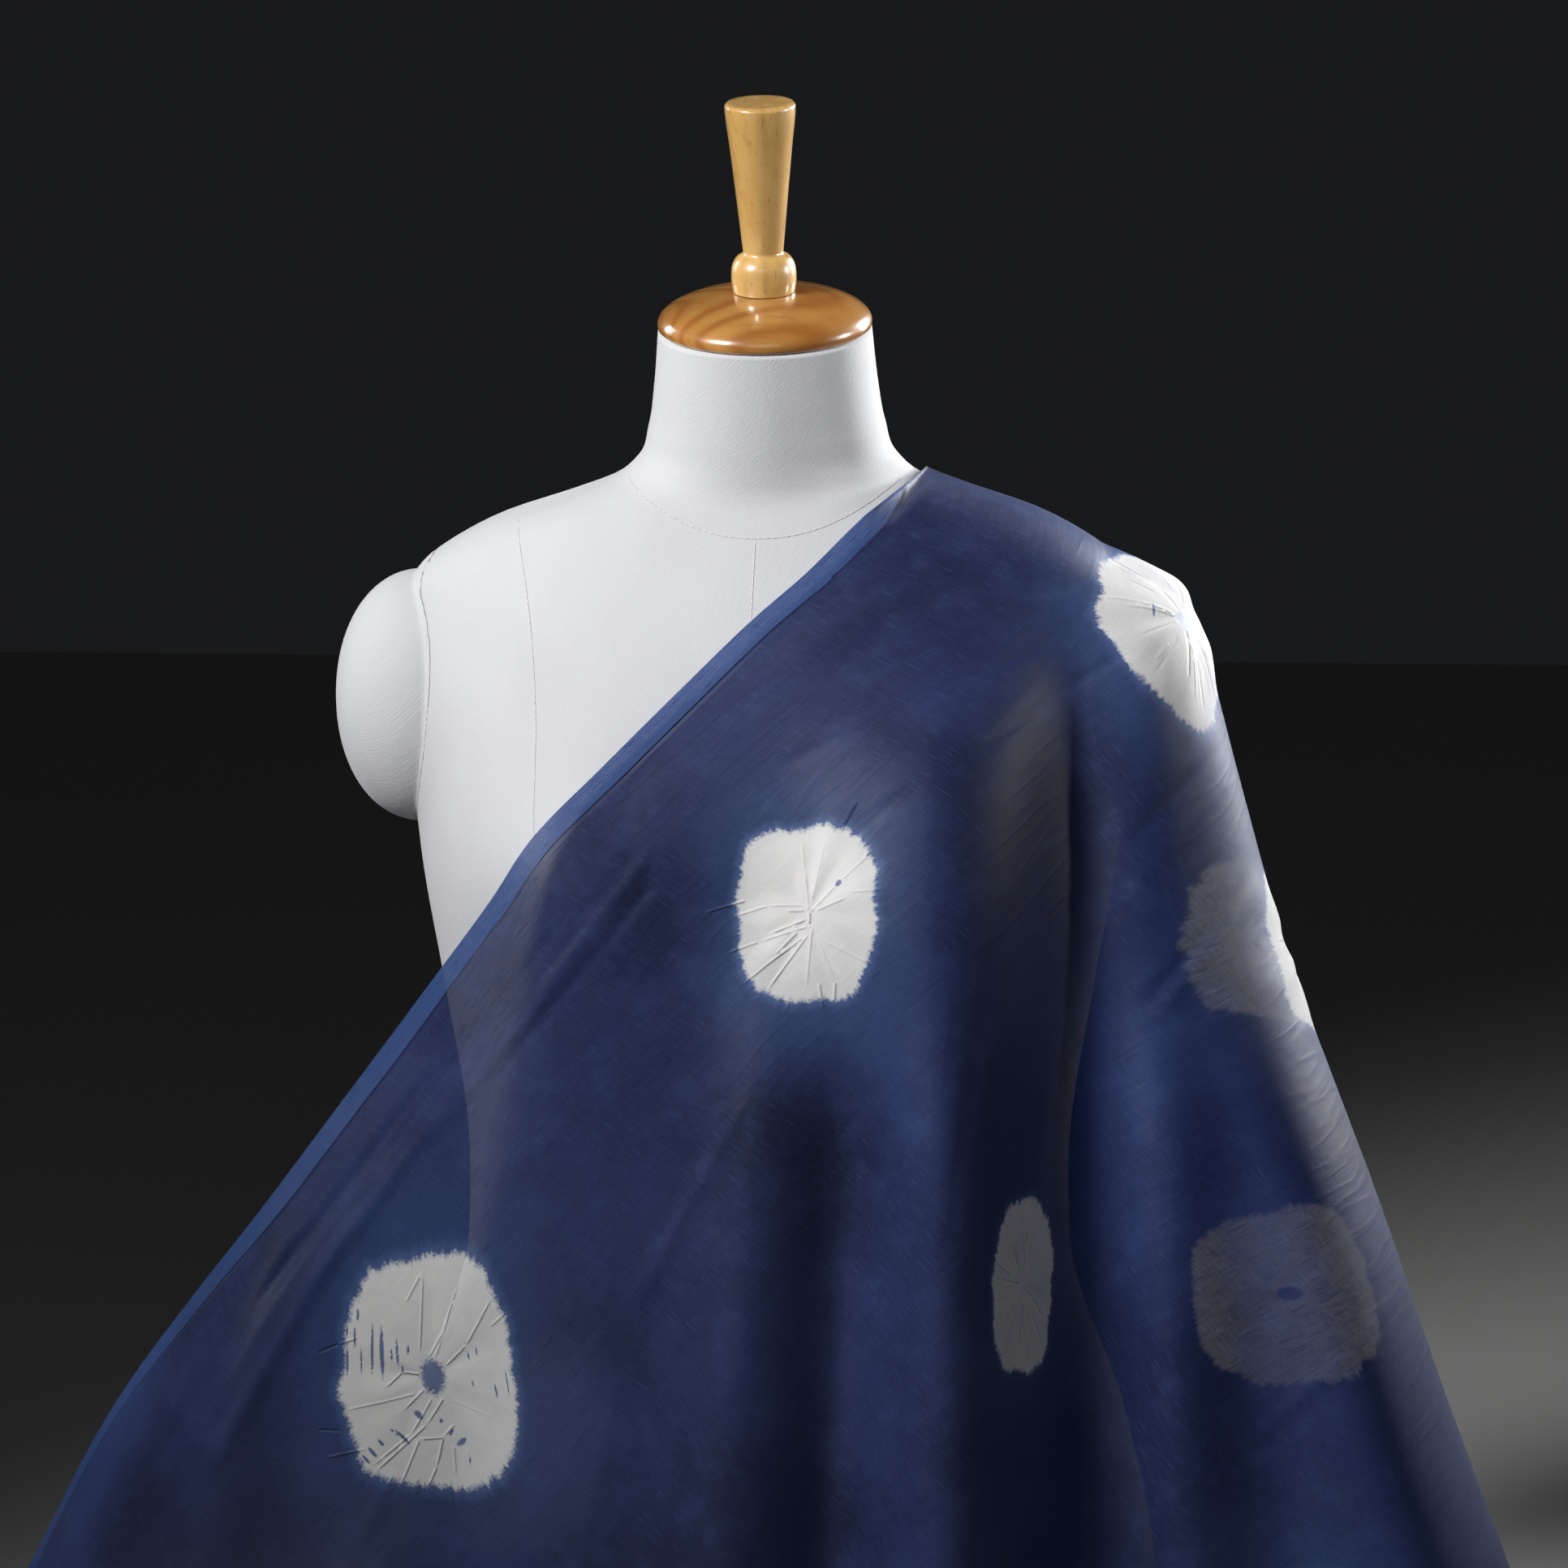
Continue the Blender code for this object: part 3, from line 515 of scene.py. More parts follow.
class Wire:
    """A shader socket on which Python's operators add Math nodes."""

    def __init__(self, finish, socket):
        self.finish = finish
        self.socket = socket

    def math(self, operation, *others, clamp=False):
        settings = {"operation": operation, "use_clamp": clamp}
        return self.finish.add("ShaderNodeMath", settings, self, *others)

    def __add__(self, other):
        return self.math("ADD", other)

    def __sub__(self, other):
        return self.math("SUBTRACT", other)

    def __mul__(self, other):
        return self.math("MULTIPLY", other)

    def __truediv__(self, other):
        return self.math("DIVIDE", other)

    def __pow__(self, other):
        return self.math("POWER", other)

    def __abs__(self):
        return self.math("ABSOLUTE")

    def __rsub__(self, other):
        return self.finish.add("ShaderNodeMath", {"operation": "SUBTRACT"}, other, self)

    __radd__ = __add__
    __rmul__ = __mul__


class Finish:
    """A material whose nodes are added by name, with a few patterns that several finishes share."""

    def __init__(self, name, **constants):
        self.material = bpy.data.materials.new(name)
        self.material.use_nodes = True
        self.tree = self.material.node_tree
        self.shader = self.tree.nodes["Principled BSDF"]
        self.set(**constants)

    def put(self, socket, value):
        if isinstance(value, Wire):
            self.tree.links.new(value.socket, socket)
        elif isinstance(value, (tuple, list)) and len(socket.default_value) == 4 and len(value) == 3:
            socket.default_value = (*value, 1.0)
        else:
            socket.default_value = value

    def set(self, **values):
        """Sets or links the main shader's inputs, named with underscores for spaces."""
        for name, value in values.items():
            self.put(self.shader.inputs[name.replace("_", " ")], value)

    def add(self, kind, settings, *values, out=0, **named):
        """A node of a kind, with its settings first, then the values or links of its sockets."""
        node = self.tree.nodes.new(kind)
        for name, setting in settings.items():
            setattr(node, name, setting)
        for socket, value in zip(node.inputs, values):
            self.put(socket, value)
        for name, value in named.items():
            self.put(node.inputs[name.replace("_", " ")], value)
        return Wire(self, node.outputs[out])

    def glow_through(self, share, colour):
        """Lets a share of the light behind the surface through, scattered and coloured."""
        output = self.tree.nodes["Material Output"].inputs["Surface"]
        first = output.links[0].from_socket
        glow = self.add("ShaderNodeBsdfTranslucent", {}, (*colour, 1.0))
        mixed = self.add("ShaderNodeMixShader", {}, share, Wire(self, first), glow)
        self.put(output, mixed)

    def place(self):
        return self.add("ShaderNodeTexCoord", {}, out="Object")

    def flat(self, name):
        return self.add("ShaderNodeUVMap", {"uv_map": name})

    def parts(self, vector):
        node = self.tree.nodes.new("ShaderNodeSeparateXYZ")
        self.put(node.inputs[0], vector)
        return [Wire(self, socket) for socket in node.outputs]

    def joined(self, x, y, z=0.0):
        return self.add("ShaderNodeCombineXYZ", {}, x, y, z)

    def scaled(self, vector, scale):
        return self.add("ShaderNodeVectorMath", {"operation": "MULTIPLY"}, vector, scale)

    def noise(self, vector, scale=1.0, detail=2.0, rough=0.5, twist=0.0):
        sizes = {"Scale": scale, "Detail": detail, "Roughness": rough, "Distortion": twist}
        return self.add("ShaderNodeTexNoise", {}, Vector=vector, **sizes)

    def step(self, value, low, high, start=0.0, end=1.0):
        """A soft step as the value goes from low to high."""
        return self.add(
            "ShaderNodeMapRange", {"interpolation_type": "SMOOTHSTEP"}, value, low, high, start, end
        )

    def blend(self, share, first, second):
        """A colour between two others."""
        node = self.tree.nodes.new("ShaderNodeMix")
        node.data_type = "RGBA"
        for name, value in (("Factor_Float", share), ("A_Color", first), ("B_Color", second)):
            socket = next(item for item in node.inputs if item.identifier == name)
            self.put(socket, value)
        return Wire(self, next(item for item in node.outputs if item.identifier == "Result_Color"))

    def bump(self, height, distance, strength=1.0):
        return self.add("ShaderNodeBump", {}, Strength=strength, Distance=distance, Height=height)


def canvas_finish():
    """Off-white cotton twill, fine diagonal lines, slightly soiled in patches."""
    made = Finish("canvas_twill", Roughness=0.88, Sheen_Weight=0.12, Sheen_Roughness=0.5)
    flat = made.flat("flat")
    x, y, _ = made.parts(flat)
    along, across = (x + y) * 0.7071, (x - y) * 0.7071
    twill = made.noise(made.joined(along * 210.0, across * 1350.0), detail=1.0)
    threads = made.noise(made.joined(x * 1500.0, y * 420.0), detail=1.0)
    patches = made.noise(flat, 7.0, 4.0, 0.6)
    fine = made.noise(flat, 90.0, 3.0, 0.6)
    tone = made.step(patches, 0.3, 0.75)
    colour = made.blend(tone, (0.430, 0.434, 0.452), (0.395, 0.392, 0.403))
    colour = made.blend(made.step(twill, 0.52, 0.8) * 0.30, colour, (0.48, 0.475, 0.48))
    colour = made.blend(made.step(fine, 0.55, 0.8) * 0.10, colour, (0.52, 0.50, 0.48))
    made.set(Base_Color=colour, Normal=made.bump(twill + threads * 0.6, 0.00025, 0.55))
    return made.material


def seam_shade_finish():
    """The line where two pieces of canvas are turned in, coloured a darker grey as painted shade."""
    made = Finish("seam_painted_shade", Roughness=0.9)
    grain = made.noise(made.place(), 600.0, 2.0)
    # The darker grey is painted shade of the turned-in line, not a colour of the canvas
    made.set(Base_Color=made.blend(grain, (0.30, 0.30, 0.31), (0.44, 0.43, 0.43)))
    return made.material


def thread_finish():
    made = Finish("seam_thread", Roughness=0.7)
    grain = made.noise(made.place(), 900.0, 2.0)
    made.set(Base_Color=made.blend(grain, (0.50, 0.50, 0.51), (0.64, 0.63, 0.63)))
    return made.material


def knob_wood_finish():
    """Blond turned wood with fine straight grain along the knob and small dark pores."""
    made = Finish("knob_wood", Coat_Weight=0.9, Coat_Roughness=0.08)
    place = made.scaled(made.place(), (1.0, 1.0, 0.08))
    grain = made.noise(place, 190.0, 4.0, 0.6, 0.3)
    broad = made.noise(place, 38.0, 3.0, 0.55, 0.8)
    pores = made.noise(made.scaled(made.place(), (1.0, 1.0, 0.05)), 620.0, 2.0, 0.5)
    colour = made.blend(made.step(broad, 0.35, 0.70), (0.47, 0.275, 0.085), (0.60, 0.385, 0.150))
    colour = made.blend(made.step(grain, 0.50, 0.72) * 0.55, colour, (0.36, 0.185, 0.050))
    colour = made.blend(made.step(pores, 0.62, 0.72) * 0.5, colour, (0.20, 0.095, 0.025))
    rough = 0.30 + 0.12 * grain
    made.set(Base_Color=colour, Roughness=rough, Normal=made.bump(pores + grain * 0.5, 0.0001, 0.4))
    return made.material


def cap_wood_finish():
    """Orange-brown wood cut across its rings, so they sweep over the dome, under a thick gloss."""
    made = Finish("cap_wood", Coat_Weight=1.0, Coat_Roughness=0.05)
    place = made.place()
    x, y, z = made.parts(place)
    wander = made.noise(place, 17.0, 2.0, 0.5) - 0.5
    # The rings lie round a pith that runs across under the dome, a little off its middle
    across = (x * 0.35 + 0.018) ** 2.0 + (y + 0.026 + wander * 0.020) ** 2.0
    ring = (across + (z - 0.735 + wander * 0.018) ** 2.0) ** 0.5
    wave = (ring * 980.0 + wander * 5.0).math("SINE") * 0.5 + 0.5
    late = wave ** 2.2
    grain = made.noise(made.scaled(place, (0.10, 1.0, 1.0)), 420.0, 3.0, 0.6)
    broad = made.noise(place, 24.0, 3.0, 0.5)
    colour = made.blend(made.step(broad, 0.3, 0.7), (0.29, 0.125, 0.026), (0.37, 0.180, 0.046))
    colour = made.blend(late * 0.85, colour, (0.245, 0.085, 0.016))
    colour = made.blend(made.step(grain, 0.52, 0.75) * 0.45, colour, (0.22, 0.080, 0.018))
    made.set(Base_Color=colour, Roughness=0.24 + 0.10 * grain, Normal=made.bump(grain, 0.00006, 0.3))
    return made.material


def foot_wood_finish():
    made = Finish("foot_wood", Coat_Weight=0.5, Coat_Roughness=0.15)
    place = made.place()
    _, y, _ = made.parts(place)
    wander = made.noise(place, 6.0, 2.0) - 0.5
    wave = ((y + wander * 0.05) * 420.0 + wander * 6.0).math("SINE") * 0.5 + 0.5
    grain = made.noise(made.scaled(place, (0.08, 1.0, 1.0)), 260.0, 3.0, 0.6)
    colour = made.blend(wave * 0.6, (0.44, 0.22, 0.070), (0.28, 0.115, 0.030))
    colour = made.blend(made.step(grain, 0.5, 0.75) * 0.5, colour, (0.20, 0.085, 0.022))
    made.set(Base_Color=colour, Roughness=0.32 + 0.10 * grain, Normal=made.bump(grain, 0.00008, 0.3))
    return made.material


def dyed_finish():
    """Fine semi-sheer indigo cloth with a soft lustre. The maps hold its flat shape and its tied spots."""
    made = Finish("shibori_indigo", Specular_IOR_Level=0.16)
    made.set(Sheen_Weight=0.04, Sheen_Roughness=0.35, Sheen_Tint=(0.45, 0.60, 1.0))
    flat = made.flat("flat")
    along, across, _ = made.parts(flat)
    p, q, _ = made.parts(made.flat("spot"))
    mark_along, mark_aside, _ = made.parts(made.flat("mark"))
    pleat_along, pleat_aside, _ = made.parts(made.flat("pleat"))
    seed, pleat_out, _ = made.parts(made.flat("facts"))

    # Threads: slubs across the cloth, finer ones along it
    slubs = made.noise(made.joined(along * 1900.0, across * 95.0), detail=1.0, rough=0.6)
    ends = made.noise(made.joined(along * 75.0, across * 1600.0), detail=1.0, rough=0.6)
    cloudy = made.noise(flat, 8.0, 3.0, 0.55)
    mottle = made.noise(flat, 46.0, 3.0, 0.6)
    streaks = made.noise(made.joined(along * 9.0, across * 60.0), detail=2.0, rough=0.55)

    # Each spot is a round-cornered patch whose edge is torn into small points, along the threads
    radius = (abs(p) ** 2.9 + abs(q) ** 2.9) ** (1 / 2.9)
    away = made.add("ShaderNodeVectorMath", {"operation": "NORMALIZE"}, made.joined(p, q))
    turned = made.add("ShaderNodeVectorMath", {"operation": "ADD"}, away, made.joined(0.0, 0.0, seed * 7.0))
    lobes = made.noise(turned, 1.6, 1.0, 0.5)
    points = made.noise(turned, 9.0, 2.0, 0.75)
    feather = made.noise(flat, 620.0, 1.0, 0.6)
    edge = radius + (lobes - 0.5) * 0.34 + (points - 0.5) * 0.16 + (feather - 0.5) * 0.09
    white = 1.0 - made.step(edge, 0.95, 1.035)
    fringe = 1.0 - made.step(edge, 0.98, 1.16)
    halo = 1.0 - made.step(radius + (lobes - 0.5) * 0.5, 1.0, 2.3)
    mark_edge = (mark_along ** 2.0 + mark_aside ** 2.0) ** 0.5 + (feather - 0.5) * 0.8
    mark = 1.0 - made.step(mark_edge, 0.70, 1.20)
    white = white.math("MULTIPLY", 1.0 - mark * 0.93, clamp=True)

    # Colours
    deep, mid, light = (0.0086, 0.0122, 0.041), (0.0202, 0.0295, 0.096), (0.043, 0.063, 0.176)
    dyed = made.blend(made.step(cloudy, 0.32, 0.68), deep, mid)
    dyed = made.blend(made.step(mottle, 0.45, 0.80) * 0.32, dyed, light)
    dyed = made.blend(made.step(streaks, 0.50, 0.85) * 0.30, dyed, (0.026, 0.038, 0.096))
    dyed = made.blend(halo * 0.35, dyed, (0.040, 0.074, 0.195))
    dyed = made.blend(fringe * 0.55, dyed, (0.085, 0.150, 0.33))
    band = 1.0 - made.step(across, BAND_WIDTH - 0.0006, BAND_WIDTH + 0.0002)
    beyond = made.step(across, BAND_WIDTH, BAND_WIDTH + 0.0022)
    # A thin line along the band's inner edge: a small dent in the bump, and painted shade in the colour
    groove_and_painted_shade = made.step(across, BAND_WIDTH - 0.0006, BAND_WIDTH) * (1.0 - beyond)
    dyed = made.blend(band * 0.80, dyed, (0.032, 0.068, 0.190))
    dyed = made.blend(made.step(slubs, 0.50, 0.80) * 0.50, dyed, (0.042, 0.062, 0.146))
    dyed = made.blend(made.step(ends, 0.52, 0.80) * 0.50, dyed, (0.005, 0.007, 0.026))
    cream = made.blend(made.step(mottle, 0.35, 0.75), (0.860, 0.850, 0.840), (0.79, 0.78, 0.775))
    cream = made.blend(made.step(slubs, 0.50, 0.80) * 0.22, cream, (0.58, 0.57, 0.56))
    colour = made.blend(white, dyed, cream)
    # Painted shade along the band's inner edge
    colour = made.blend(groove_and_painted_shade * 0.65, colour, (0.006, 0.009, 0.032))

    # Sharp pleats, faint long creases, and the threads, in millimetres
    pleat = (pleat_aside ** 2.0 * -1.0).math("EXPONENT")
    faded = made.step(pleat_along, -0.02, 0.10) * (1.0 - made.step(pleat_along, 0.75, 1.02))
    long_crease = 1.0 - abs(streaks - 0.5) * 14.0
    height = pleat * faded * pleat_out * 0.75
    height = height + long_crease.math("MAXIMUM", 0.0) * 0.08
    height = height + slubs * 0.10 + ends * 0.07 + mottle * 0.20 - groove_and_painted_shade * 0.45 + band * 0.2
    sheer = made.step(slubs + ends, 0.75, 1.35, 0.875, 0.955) + band * 0.05 - white * 0.24
    made.set(
        Base_Color=colour,
        Roughness=0.42 + slubs * 0.14 + white * 0.14,
        Alpha=sheer.math("MINIMUM", 1.0),
        Normal=made.bump(height, 0.001, 0.8),
    )
    made.glow_through((1.0 - white) * 0.14, (0.060, 0.120, 0.420))
    made.glow_through(white * 0.26, (0.86, 0.85, 0.83))
    return made.material


def floor_finish():
    made = Finish("pale_floor", Roughness=0.9)
    clouds = made.noise(made.place(), 1.3, 3.0)
    made.set(Base_Color=made.blend(clouds, (0.56, 0.55, 0.54), (0.60, 0.59, 0.58)))
    return made.material


def new_object(name, data):
    thing = bpy.data.objects.new(name, data)
    bpy.context.scene.collection.objects.link(thing)
    return thing


def new_mesh(name, shape):
    """The mesh of a finished BMesh."""
    mesh = bpy.data.meshes.new(name)
    shape.to_mesh(mesh)
    shape.free()
    return mesh


def mesh_piece(name, mesh, finish):
    """A finished piece with its place in its mesh, shaded smooth."""
    mesh.materials.clear()
    mesh.materials.append(finish)
    mesh.shade_smooth()
    return new_object(name, mesh)


def plain_mesh(piece, name):
    """The evaluated mesh of an object, with its place applied."""
    graph = bpy.context.evaluated_depsgraph_get()
    mesh = bpy.data.meshes.new_from_object(piece.evaluated_get(graph))
    mesh.transform(piece.matrix_world)
    mesh.name = name
    bpy.data.objects.remove(piece)
    return mesh


def form_rings(heights, points):
    """Rings of the form's surface, from the hip up, each from the back middle round by +X."""
    names = ("half_width", "front", "back", "centre", "lean")
    lines = read(FORM_COLUMNS, FORM_SECTIONS, names, heights)
    half, front, back, centre, lean = (line[:, None] for line in lines)
    side = np.linspace(0, 2 * math.pi, points, endpoint=False) + math.pi / 2
    across, depth = reach(side)
    across = across[None] * half
    bust = sum(
        np.exp(-((across - place) ** 2 + (heights[:, None] - BUST_HEIGHT) ** 2) / (2 * BUST_SPREAD**2))
        for place in (-BUST_REACH, BUST_REACH)
    )
    depth = np.where(depth[None] > 0, depth[None] * back, depth[None] * (front + BUST_DEPTH * bust))
    tilt = np.radians(lean)
    return np.stack([across, centre + depth * np.cos(tilt), heights[:, None] + depth * np.sin(tilt)], -1)


def form_mesh():
    """The canvas body as one closed fine mesh, with a flat map in metres for its weave."""
    at = column(FORM_COLUMNS, FORM_SECTIONS, "height")
    share = np.linspace(0, 1, FORM_RINGS)
    # Closer rings over the shoulders and the neck
    heights = at[0] + (at[-1] - at[0]) * (share * 1.55 - 0.55 * share**2)
    rings = form_rings(heights, FORM_RING_POINTS)
    shape = bmesh.new()
    flat = shape.loops.layers.uv.new("flat")
    lines = [[shape.verts.new(point) for point in ring] for ring in rings]
    closed = np.concatenate([rings, rings[:, :1]], 1)
    across = np.cumsum(np.linalg.norm(np.diff(closed, axis=1), axis=-1), axis=1)
    across = np.concatenate([np.zeros((len(rings), 1)), across], 1)
    across = across - across[:, -1:] / 2
    for low in range(len(lines) - 1):
        for i in range(FORM_RING_POINTS):
            j = (i + 1) % FORM_RING_POINTS
            face = shape.faces.new((lines[low][i], lines[low][j], lines[low + 1][j], lines[low + 1][i]))
            corners = ((low, i), (low, i + 1), (low + 1, i + 1), (low + 1, i))
            for loop, (row, place) in zip(face.loops, corners):
                loop[flat].uv = (across[row, place], heights[row])
    for line in (lines[0][::-1], lines[-1]):
        face = shape.faces.new(line)
        for loop in face.loops:
            loop[flat].uv = (loop.vert.co.x, loop.vert.co.y)
    return new_mesh("form_body", shape)


def turned_mesh(name, outline, place):
    """A turned piece from its outline, top of the axis first."""
    shape = bmesh.new()
    points = [shape.verts.new((radius, 0.0, height)) for height, radius in outline]
    for first, second in zip(points, points[1:]):
        shape.edges.new((first, second))
    thing = new_object(name, new_mesh(name, shape))
    screw = thing.modifiers.new("Turning", "SCREW")
    screw.axis = "Z"
    screw.steps = TURNED_STEPS
    screw.render_steps = TURNED_STEPS
    screw.use_merge_vertices = True
    screw.merge_threshold = 0.00005
    thing.matrix_world = place
    bpy.context.view_layer.update()
    return plain_mesh(thing, name)


def arc(centre, rise, out, turns):
    """Points of an outline on an ellipse round a centre (height, radius), from straight up at turn 0."""
    height, radius = centre
    return [(height + rise * math.cos(turn), radius + out * math.sin(turn)) for turn in turns]


def corner_points(mesh):
    """Which of the mesh's points is at each corner of its faces."""
    corners = np.zeros(len(mesh.loops), int)
    mesh.loops.foreach_get("vertex_index", corners)
    return corners


def add_map(mesh, name, places):
    """A map of the mesh, with a place for each corner."""
    layer = mesh.uv_layers.new(name=name)
    layer.data.foreach_set("uv", places.reshape(-1).astype(np.float32))


def stub_mesh(name, side, form_tree=None):
    """A shoulder cap: a full rounded ellipsoid, pulled flat onto the form where it would enter it."""
    ball = arc((0.0, 0.0), 1.0, 1.0, np.linspace(0, math.pi, STUB_RINGS))
    mesh = turned_mesh(name, ball, Matrix.Rotation(math.pi / 2, 4, "Y"))
    centre = Vector((side * STUB_CENTRE[0], *STUB_CENTRE[1:]))
    for vertex in mesh.vertices:
        size = sum(abs(value) ** STUB_SQUARENESS for value in vertex.co) ** (1 / STUB_SQUARENESS)
        vertex.co = centre + vertex.co / size * Vector(STUB_RADII)
    for vertex in mesh.vertices if form_tree else ():
        near, normal, _, _ = form_tree.find_nearest(vertex.co)
        if (vertex.co - near).dot(normal) < SEAT_GAP:
            vertex.co = near + normal * SEAT_GAP
    x, y, z = np.array([vertex.co for vertex in mesh.vertices])[corner_points(mesh)].T
    add_map(mesh, "flat", np.stack([y, z + np.abs(x)], -1))
    return mesh


def fine_outline(outline, points):
    """An outline of (height, radius) made smooth between its points, which it keeps."""
    outline = np.array(outline)
    run = np.concatenate([[0], np.cumsum(np.linalg.norm(np.diff(outline, axis=0), axis=1))])
    at = np.unique(np.concatenate([run, np.linspace(0, run[-1], points)]))
    return list(zip(smooth(run, outline[:, 0], at), smooth(run, outline[:, 1], at)))


def neck_top():
    """Where the cap sits, and the turn of the neck's axis there."""
    top = dict(zip(FORM_COLUMNS, FORM_SECTIONS[-1]))
    lean = Matrix.Rotation(math.radians(top["lean"]), 4, "X")
    return Matrix.Translation((0, top["centre"], top["height"])) @ lean


def cap_height():
    return CAP_EDGE + CAP_RISE * math.cos(math.asin(CAP_SEAT / CAP_RADIUS))


def upper_round(height, radius, size, points):
    """A rounded upper edge of a turned piece of that height and radius."""
    return arc((height - size, radius - size), size, size, np.linspace(0, math.pi / 2, points))


def lower_round(radius, size, points):
    """A rounded lower edge of a turned piece of that radius, which stands at 0."""
    return arc((size, radius - size), size, size, np.linspace(math.pi / 2, math.pi, points))


def make_cap(finish):
    """The domed cap: flat where the knob sits, a rounded rim, and a flat underside."""
    seat = math.asin(CAP_SEAT / CAP_RADIUS)
    dome = arc((CAP_EDGE, 0.0), CAP_RISE, CAP_RADIUS, np.linspace(seat, math.pi / 2, 40))
    rim = lower_round(CAP_RADIUS, CAP_ROUND, points=8)
    outline = [(cap_height(), 0.0), (cap_height(), CAP_SEAT * 0.6), *dome, *rim, (0.0, 0.0)]
    place = neck_top() @ Matrix.Translation((0, 0, SEAT_GAP))
    return mesh_piece("wood_cap", turned_mesh("wood_cap", outline, place), finish)


def make_knob(finish):
    """The knob: a tapered handle with a rounded lip, a bead below it and a short straight foot."""
    radii = column(FINIAL_COLUMNS, FINIAL_OUTLINE, "radius")
    narrow = int(np.argmin(radii)) + 1
    handle = fine_outline(FINIAL_OUTLINE[1:narrow], 60)
    bead = fine_outline(FINIAL_OUTLINE[narrow:], 60)
    outline = [(FINIAL_OUTLINE[0][0], 0.0), FINIAL_OUTLINE[0], *handle, *bead, (0.0, 0.0)]
    place = neck_top() @ Matrix.Translation((0, 0, cap_height() + 2 * SEAT_GAP))
    return mesh_piece("wood_knob", turned_mesh("wood_knob", outline, place), finish)


def make_foot(finish):
    """The round base with a rounded upper edge and a small one below."""
    top = upper_round(BASE_HEIGHT, BASE_RADIUS, BASE_ROUNDS["top"], points=12)
    low = lower_round(BASE_RADIUS, BASE_ROUNDS["low"], points=6)
    outline = [(BASE_HEIGHT, 0.0), *top, *low, (0.0, 0.0)]
    return mesh_piece("wood_base", turned_mesh("wood_base", outline, Matrix.Identity(4)), finish)


def on_form(tree, across, height, side):
    """The point of the form's surface at a place across and a height, on its front (-1) or back (+1)."""
    start = Vector((across, side * 0.5, height))
    hit, normal, _, _ = tree.ray_cast(start, Vector((0, -side, 0)))
    return hit, normal


def seam_paths(tree):
    """The form's sewn lines, as lists of points with the surface's normal at each."""
    paths = []
    heights = np.arange(LONG_SEAMS[0][0], LONG_SEAMS[-1][0], SEAM_STEP)
    reaches = read(LONG_SEAM_COLUMNS, LONG_SEAMS, ("front", "back"), heights)
    for side, out in zip((-1, 1), reaches):
        for hand in (-1, 1):
            paths.append([on_form(tree, x, z, side) for x, z in zip(out * hand, heights)])
    neck = NECK_SEAM
    for side, top in ((-1, neck["front"]), (1, neck["back"])):
        paths.append([on_form(tree, 0.0, z, side) for z in np.arange(SEAM_FOOT, top, SEAM_STEP)])
    for side, middle in ((-1, neck["front"]), (1, neck["back"])):
        line = []
        for across in np.linspace(-0.985, 0.985, 61):
            place = math.sin(across * math.pi / 2) * neck["half"]
            height = middle + (neck["side"] - middle) * abs(place / neck["half"]) ** 2.2
            line.append(on_form(tree, place, height, side))
        paths.append(line)
    for hand in (-1, 1):
        line = []
        for turn in np.linspace(0, 2 * math.pi, 80):
            y = STUB_CENTRE[1] + STUB_RADII[1] * STUB_SEAM_SPREAD * math.cos(turn)
            z = STUB_CENTRE[2] + STUB_RADII[2] * STUB_SEAM_SPREAD * math.sin(turn)
            hit, normal, _, _ = tree.ray_cast(Vector((hand * 0.5, y, z)), Vector((-hand, 0, 0)))
            line.append((hit, normal))
        paths.append(line)
    return [[point for point in path if point[0] is not None] for path in paths]


def path_curve(name, paths, lift):
    """Paths as one curve object, lifted a little off the surface."""
    curve = bpy.data.curves.new(name, "CURVE")
    curve.dimensions = "3D"
    for path in paths:
        line = curve.splines.new("POLY")
        line.points.add(len(path) - 1)
        for point, (place, normal) in zip(line.points, path):
            point.co = (*(place + normal * lift), 1.0)
    return new_object(name, curve)


def node_group(name, numbers):
    """A Geometry Nodes tree with a geometry input, the named number inputs and a geometry output."""
    tree = bpy.data.node_groups.new(name, "GeometryNodeTree")
    tree.interface.new_socket("Geometry", in_out="INPUT", socket_type="NodeSocketGeometry")
    for number in numbers:
        tree.interface.new_socket(number, in_out="INPUT", socket_type="NodeSocketFloat")
    tree.interface.new_socket("Geometry", in_out="OUTPUT", socket_type="NodeSocketGeometry")
    return tree, tree.nodes.new("NodeGroupInput").outputs


def step_in(tree, kind, inputs, **settings):
    """A node's outputs. Its settings come first, then its inputs, each a value or another's output."""
    made = tree.nodes.new(kind)
    for name, value in settings.items():
        setattr(made, name, value)
    for name, value in inputs.items():
        if isinstance(value, bpy.types.NodeSocket):
            tree.links.new(value, made.inputs[name])
        else:
            made.inputs[name].default_value = value
    return made.outputs


def end_tree(tree, geometry, finish):
    """Makes the copies real, dresses them in a finish and hands them out."""
    real = step_in(tree, "GeometryNodeRealizeInstances", {"Geometry": geometry})
    worn = {"Geometry": real["Geometry"], "Material": finish}
    dressed = step_in(tree, "GeometryNodeSetMaterial", worn)
    step_in(tree, "NodeGroupOutput", {"Geometry": dressed["Geometry"]})
    return tree


def grown(thing, tree, name, finish, numbers):
    """Runs a tree on an object and returns the result as a plain piece, without the modifier."""
    modifier = thing.modifiers.new("Sewing", "NODES")
    modifier.node_group = tree
    for item in tree.interface.items_tree:
        if item.in_out == "INPUT" and item.name in numbers:
            modifier[item.identifier] = numbers[item.name]
    bpy.context.view_layer.update()
    return mesh_piece(name, plain_mesh(thing, name), finish)


